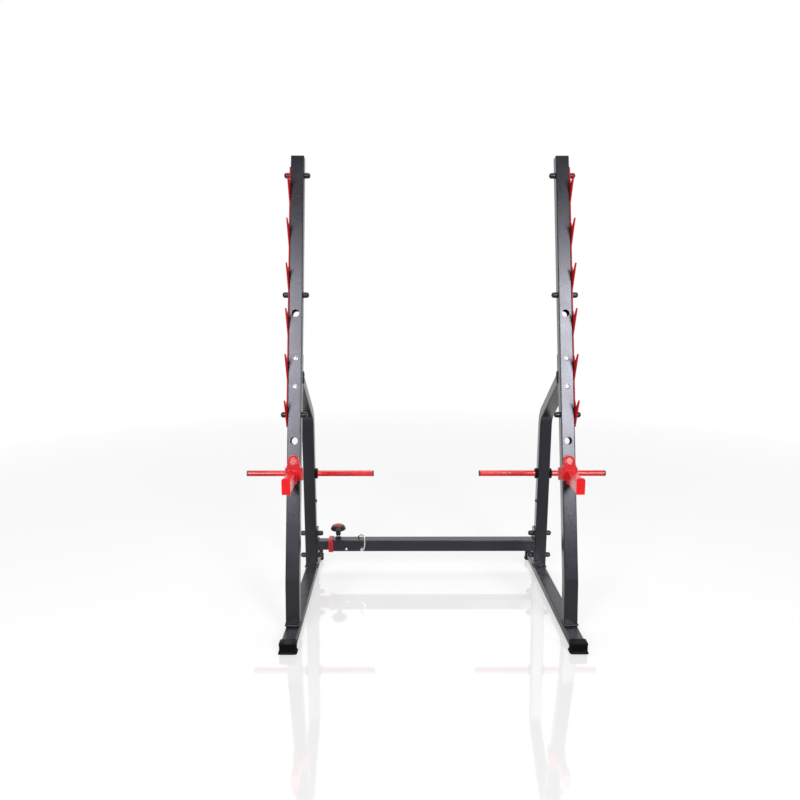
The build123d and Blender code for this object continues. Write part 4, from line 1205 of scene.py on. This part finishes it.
class Boots(Dressing):
    """The rubber boots on the floor tubes' ends."""

    sizes = BootSizes()

    def build(self) -> None:
        """Replace the four boots."""
        for side in Side:
            for end, outward in (("front", -1.0), ("rear", 1.0)):
                node = side.node(f"{end}_boot")
                piece = show(side.node(f"{end}_moulding"), self._mesh(node, outward))
                self.hand_over(piece, BLACK_RUBBER, side.frame_body, node)

    def _levels(self, top: float, flare: float) -> list[tuple[float, float]]:
        """Set out the boot's wall.

        Args:
            top: The boot's height.
            flare: How far the skirt stands out from the wall.

        Returns:
            Heights, from the floor up, and how far the wall stands out at each.
        """
        sizes = self.sizes
        levels = [(0.0, flare - sizes.sole_edge), (sizes.sole_edge, flare)]
        start = 2 * sizes.sole_edge
        for step in range(1, sizes.skirt_steps + 1):
            share = step / sizes.skirt_steps
            levels.append((start + (sizes.skirt - start) * share, flare * (1 - share) ** sizes.skirt_curve))
        band = top - sizes.lip_band
        levels += [(band - sizes.lip / 2, 0.0), (band, sizes.lip)]
        centre = (sizes.lip - sizes.rounding, top - sizes.rounding)
        rounded = arc(centre, sizes.rounding, 0, 90, sizes.rounding_steps)
        return levels + [(height, out) for out, height in rounded]

    def _mesh(self, node: str, outward: float) -> bpy.types.Mesh:
        """Measure a boot from its CAD node and build it.

        Args:
            node: The CAD node.
            outward: The way along Y that the end with the panel looks, 1 or -1.

        Returns:
            The boot's mesh.
        """
        sizes = self.sizes
        points = node_points(node)
        low, high = points.min(axis=0), points.max(axis=0)
        upper = points[points[:, 2] > (low[2] + high[2]) / 2]
        width, length = (float(value) for value in (upper.max(axis=0) - upper.min(axis=0))[:2])
        flare = (float(high[0] - low[0]) - width) / 2
        middle_x, middle_y = (float(value) for value in (low + high)[:2] / 2)
        loops = []
        for height, out in self._levels(float(high[2]), flare):
            corner = max(sizes.corner + out, sizes.least_corner)
            loop = rounded_loop(width + 2 * out, length + 2 * out, corner)
            loops.append([Vector((middle_x + x, middle_y + y, height)) for x, y in loop])
        mesh = banded(node, loops)
        work = bmesh.new()
        work.from_mesh(mesh)
        ends = [face for face in work.faces if face.normal.y * outward > sizes.end_facing]
        panel = max(ends, key=bmesh.types.BMFace.calc_area)
        bmesh.ops.inset_region(work, faces=[panel], thickness=sizes.panel_margin, use_even_offset=True)
        bmesh.ops.inset_region(work, faces=[panel], thickness=sizes.panel_bevel, depth=-sizes.panel_depth,
                               use_even_offset=True)
        work.to_mesh(mesh)
        work.free()
        return finish_mesh(mesh)


@dataclass(frozen=True)
class ThreadSizes:
    """A screw thread and how finely it is drawn."""

    pitch: float = 1.5 * MM
    depth: float = 0.85 * MM
    rows: int = 8
    segments: int = 40


class ClampScrew(Dressing):
    """The threaded stud under the knob."""

    thread = ThreadSizes()

    def build(self) -> None:
        """Replace the stud with one that has a thread."""
        piece = show("threaded_stud", self._mesh(node_points("clamp_stud")))
        self.hand_over(piece, BRIGHT_ZINC, "clamp_knob", "clamp_stud")

    def _mesh(self, points: np.ndarray) -> bpy.types.Mesh:
        """Cut a thread into the CAD stud's outline.

        Args:
            points: The CAD stud's vertices.

        Returns:
            The stud's mesh.
        """
        thread = self.thread
        low, high = points.min(axis=0), points.max(axis=0)
        radius = float(high[0] - low[0]) / 2
        middle_x, middle_y = (float(value) for value in (low + high)[:2] / 2)
        length = float(high[2] - low[2])
        count = math.ceil(length / thread.pitch * thread.rows)
        loops = []
        for row in range(count + 1):
            height = length * row / count
            loop = []
            for step in range(thread.segments):
                turn = step / thread.segments
                groove = 1 - abs(2 * ((height / thread.pitch - turn) % 1) - 1)
                reach = radius - thread.depth * groove
                loop.append(Vector((middle_x + reach * math.cos(math.tau * turn),
                                    middle_y + reach * math.sin(math.tau * turn), float(low[2]) + height)))
            loops.append(loop)
        return banded("threaded_stud", loops)


@dataclass(frozen=True)
class BailSizes:
    """The sprung wire bail: how its leg bows, how high its tip ends and how finely it is drawn."""

    wire: float = 6.2 * MM
    bow: float = 4.0 * MM
    foot_side: float = 7.5 * MM
    shoulder: float = 11.0 * MM
    tip_share: float = 0.62
    segments: int = 20
    steps: int = 14


class Bail(Dressing):
    """The bail that keeps the hitch pin in its hole, bowed like sprung wire."""

    sizes = BailSizes()
    askew = Vector((0.3, 1.0, 0.2))  # a direction that no stretch of the wire takes

    def build(self) -> None:
        """Replace the straight-legged CAD bail."""
        piece = show("sprung_bail", self._mesh())
        self.hand_over(piece, BRUSHED_CHROME, "hitch_bail", "pin_bail")

    def _course(self) -> list[Vector]:
        """Set out the wire's middle line, from the pin's head up its bowed leg and over to its tip.

        Returns:
            The line's points.
        """
        points = node_points("pin_bail")
        low, high = Vector(points.min(axis=0)), Vector(points.max(axis=0))
        head = middle("hitch_pin")
        reach = self.sizes.wire / 2
        front, back = low.y + reach, high.y - reach
        foot = Vector((head.x - self.sizes.foot_side, front, head.z))
        knee = Vector((head.x + self.sizes.foot_side, front, head.z))
        side = high.x - reach
        top = high.z - reach
        shoulder = Vector((side, front, top - self.sizes.shoulder))
        crest = Vector((side - self.sizes.shoulder, front + self.sizes.shoulder, top))
        tip = Vector((low.x + reach, back, low.z + (high.z - low.z) * self.sizes.tip_share))
        bowed = Vector((side + self.sizes.bow, front, (knee.z + shoulder.z) / 2))
        course = [foot, knee, *self._bend(knee, bowed, shoulder)]
        course += self._bend(shoulder, Vector((side, front, top)), crest)
        course += self._bend(crest, (crest + tip) / 2 + Vector((0.0, 0.0, self.sizes.bow)), tip)
        return course

    def _bend(self, start: Vector, pull: Vector, end: Vector) -> list[Vector]:
        """Return the points of a curve after its start, pulled towards a point on its way."""
        shares = [step / self.sizes.steps for step in range(1, self.sizes.steps + 1)]
        return [start * (1 - t) ** 2 + pull * (2 * t * (1 - t)) + end * t ** 2 for t in shares]

    def _mesh(self) -> bpy.types.Mesh:
        """Skin the wire along its course.

        Returns:
            The wire's mesh.
        """
        course = self._course()
        loops = []
        for index, point in enumerate(course):
            ahead = course[min(index + 1, len(course) - 1)] - course[max(index - 1, 0)]
            first = ahead.cross(self.askew).normalized()
            second = ahead.cross(first).normalized()
            loop = []
            for step in range(self.sizes.segments):
                turn = math.tau * step / self.sizes.segments
                outward = first * math.cos(turn) + second * math.sin(turn)
                loop.append(point + outward * self.sizes.wire / 2)
            loops.append(loop)
        return banded("sprung_bail", loops)


# ------------------------------------------------------------------------------ studio
@dataclass(frozen=True)
class SoftBox:
    """One rectangular studio light."""

    name: str
    place: tuple[float, float, float]
    aim: tuple[float, float, float]
    size: tuple[float, float]
    watts: float

    def build(self) -> None:
        """Place the light and turn it to its aim."""
        light = bpy.data.lights.new(self.name, "AREA")
        light.shape = "RECTANGLE"
        light.size, light.size_y = self.size
        light.energy = self.watts
        lamp = show(self.name, light)
        lamp.location = self.place
        lamp.rotation_euler = (Vector(self.aim) - Vector(self.place)).to_track_quat("-Z", "Y").to_euler()


@dataclass(frozen=True)
class Studio:
    """The floor, the world, the soft boxes and the camera.

    The floor starts to turn white at the first distance of fade and is white at the second. What it mirrors
    turns from dim to white over backdrop, along Y, and the world's own light over backdrop_turn, the Y of a
    direction.
    """

    eye: tuple[float, float, float] = (-0.121, -2.551, 1.224)
    tilt_down: float = 9.16
    turn_right: float = 0.17
    lens: float = 30.15
    sensor: float = 36.0
    floor_half: float = 30.0
    floor_albedo: float = 0.28
    floor_roughness: float = 0.05
    near_glow: float = 0.66
    mirror_share: float = 0.18
    dim: float = 0.08
    fade: tuple[float, float] = (1.6, 4.5)
    backdrop: tuple[float, float] = (-0.4, 0.7)
    backdrop_turn: tuple[float, float] = (-0.10, 0.45)
    lights: tuple[SoftBox, ...] = (
        SoftBox("right_soft_box", (1.65, -4.0, 2.45), (0.5, 0.0, 1.1), (1.1, 2.1), 145.0),
        SoftBox("left_soft_box", (-1.75, -4.0, 2.45), (-0.5, 0.0, 1.1), (1.3, 2.1), 135.0),
        SoftBox("overhead_soft_box", (0.0, 0.8, 4.2), (0.0, 0.2, 0.0), (2.6, 2.0), 60.0),
    )

    def build(self) -> None:
        """Build the whole studio."""
        bpy.context.scene.view_settings.view_transform = "Standard"
        self._camera()
        self._world()
        self._floor()
        for light in self.lights:
            light.build()

    def _camera(self) -> None:
        """Set the camera at the viewer's place."""
        data = bpy.data.cameras.new("viewer")
        data.lens = self.lens
        data.sensor_width = self.sensor
        camera = show("viewer", data)
        camera.location = self.eye
        camera.rotation_euler = (math.radians(90 - self.tilt_down), 0.0, math.radians(-self.turn_right))
        bpy.context.scene.camera = camera

    def _world(self) -> None:
        """Light the room: white behind the rack, dim in front of it, white wherever it shows."""
        world = bpy.data.worlds.new("studio")
        world.use_nodes = True
        bpy.context.scene.world = world
        graph = Graph(world.node_tree)
        background = world.node_tree.nodes["Background"]
        direction = graph.add("ShaderNodeTexCoord").outputs["Generated"]
        parts = graph.add("ShaderNodeSeparateXYZ", {0: direction})
        level = graph.spread(parts.outputs["Y"], *self.backdrop_turn, self.dim, 1.0)
        seen = graph.add("ShaderNodeLightPath").outputs["Is Camera Ray"]
        strength = graph.spread(seen, 0.0, 1.0, level, 1.0)
        background.inputs["Color"].default_value = WHITE
        graph.link(strength, background.inputs["Strength"])

    def _floor(self) -> None:
        """Lay the floor."""
        half = self.floor_half
        corners = [(-half, -half, 0), (half, -half, 0), (half, half, 0), (-half, half, 0)]
        mesh = bpy.data.meshes.new("floor")
        mesh.from_pydata(corners, [], [(0, 1, 2, 3)])
        mesh.materials.append(self._floor_material())
        show("floor", mesh)

    def _floor_material(self) -> bpy.types.Material:
        """Build the pale, lightly polished floor that fades to white, and that mirrors as the world does.

        Returns:
            The material.
        """
        material = bpy.data.materials.new("pale_floor")
        material.use_nodes = True
        graph = Graph(material.node_tree)
        material.node_tree.nodes.remove(material.node_tree.nodes["Principled BSDF"])
        output = material.node_tree.nodes["Material Output"]
        place = graph.add("ShaderNodeTexCoord").outputs["Object"]
        distance = graph.add("ShaderNodeVectorMath", {0: place}, operation="LENGTH").outputs["Value"]
        away = graph.spread(distance, *self.fade)
        near = graph.maths("SUBTRACT", 1.0, away)
        shade = graph.add("ShaderNodeCombineXYZ")
        level = graph.product(near, self.floor_albedo)
        for axis in range(3):
            graph.link(level, shade.inputs[axis])
        diffuse = graph.add("ShaderNodeBsdfDiffuse", {"Color": shade.outputs[0]})
        rays = graph.add("ShaderNodeLightPath")
        seen = rays.outputs["Is Camera Ray"]
        glow = graph.add("ShaderNodeEmission", {"Color": WHITE})
        own_light = graph.spread(away, 0.0, 1.0, self.near_glow, 1.0)
        parts = graph.add("ShaderNodeSeparateXYZ", {0: place})
        behind = graph.spread(parts.outputs["Y"], *self.backdrop, self.dim, 1.0)
        mirrored = graph.product(rays.outputs["Is Glossy Ray"], behind)
        strength = graph.maths("ADD", graph.product(seen, own_light), mirrored)
        graph.link(strength, glow.inputs["Strength"])
        lit = graph.add("ShaderNodeAddShader", {0: diffuse.outputs[0], 1: glow.outputs[0]})
        gloss = graph.add("ShaderNodeBsdfGlossy", {"Color": WHITE, "Roughness": self.floor_roughness})
        share = graph.product(near, seen, self.mirror_share)
        polished = graph.add("ShaderNodeMixShader", {0: share, 1: lit.outputs[0], 2: gloss.outputs[0]})
        graph.link(polished.outputs[0], output.inputs["Surface"])
        return material


# ------------------------------------------------------------------------------ the dressed nodes
NODE_FINISHES: dict[str, Finish] = {
    "base_tube": GRAPHITE,
    "front_boot": BLACK_RUBBER,
    "rear_boot": BLACK_RUBBER,
    "upright": GRAPHITE,
    "upright_top_cap": BLACK_MOULDED,
    "rear_strut": GRAPHITE,
    "strut_flange": GRAPHITE,
    "strut_bolts": DULL_ZINC,
    "strut_hole_plug": BLACK_MOULDED,
    "hook_plate": RED_SATIN,
    "cross_bolts": BRIGHT_ZINC,
    "frame_nuts": BRIGHT_ZINC,
    "bolt_caps": BLACK_MOULDED,
    "crossbar_flange": GRAPHITE,
    "storage_pin": RED_RUBBED,
    "storage_pin_caps": BLACK_MOULDED,
    "stop_rings": BLACK_RUBBER,
    "spotter_saddle": RED_PAINTED_EDGE_HIGHLIGHT,
    "spotter_pin": RED_SHINY_PAINTED_EDGE_HIGHLIGHT,
    "spotter_arm": RED_RUBBED,
    "spotter_end_plate": RED_GLOSS,
}
CROSSBAR_FINISHES: dict[str, Finish] = {
    "crossbar_sleeve": GRAPHITE,
    "crossbar_inner_tube": GRAPHITE,
    "crossbar_collar": RED_MOULDED,
    "liner_screw": BRIGHT_ZINC,
    "clamp_boss": GRAPHITE,
    "clamp_pad": BRIGHT_ZINC,
    "clamp_stud": BRIGHT_ZINC,
    "knob_head": BLACK_MOULDED,
    "knob_cap": DARK_RED_MOULDED,
    "hitch_pin": POLISHED_CHROME,
    "pin_bail": BRUSHED_CHROME,
}


def coat_nodes(paintshop: Paintshop) -> None:
    """Give every CAD node its finish.

    Args:
        paintshop: The finishes' materials.
    """
    for side in Side:
        for piece, finish in NODE_FINISHES.items():
            paintshop.coat_node(side.node(piece), finish)
    for piece, finish in CROSSBAR_FINISHES.items():
        paintshop.coat_node(piece, finish)


def main() -> None:
    """Dress the rack and build its studio."""
    logging.basicConfig(level=logging.INFO, format="%(name)s: %(message)s")
    paintshop = Paintshop()
    coat_nodes(paintshop)
    repeats = Repeats()
    for part in (Boots, Fasteners, Welds, ClampScrew, Bail):
        part(paintshop, repeats).build()
    Studio().build()


if __name__ == "__main__":
    main()
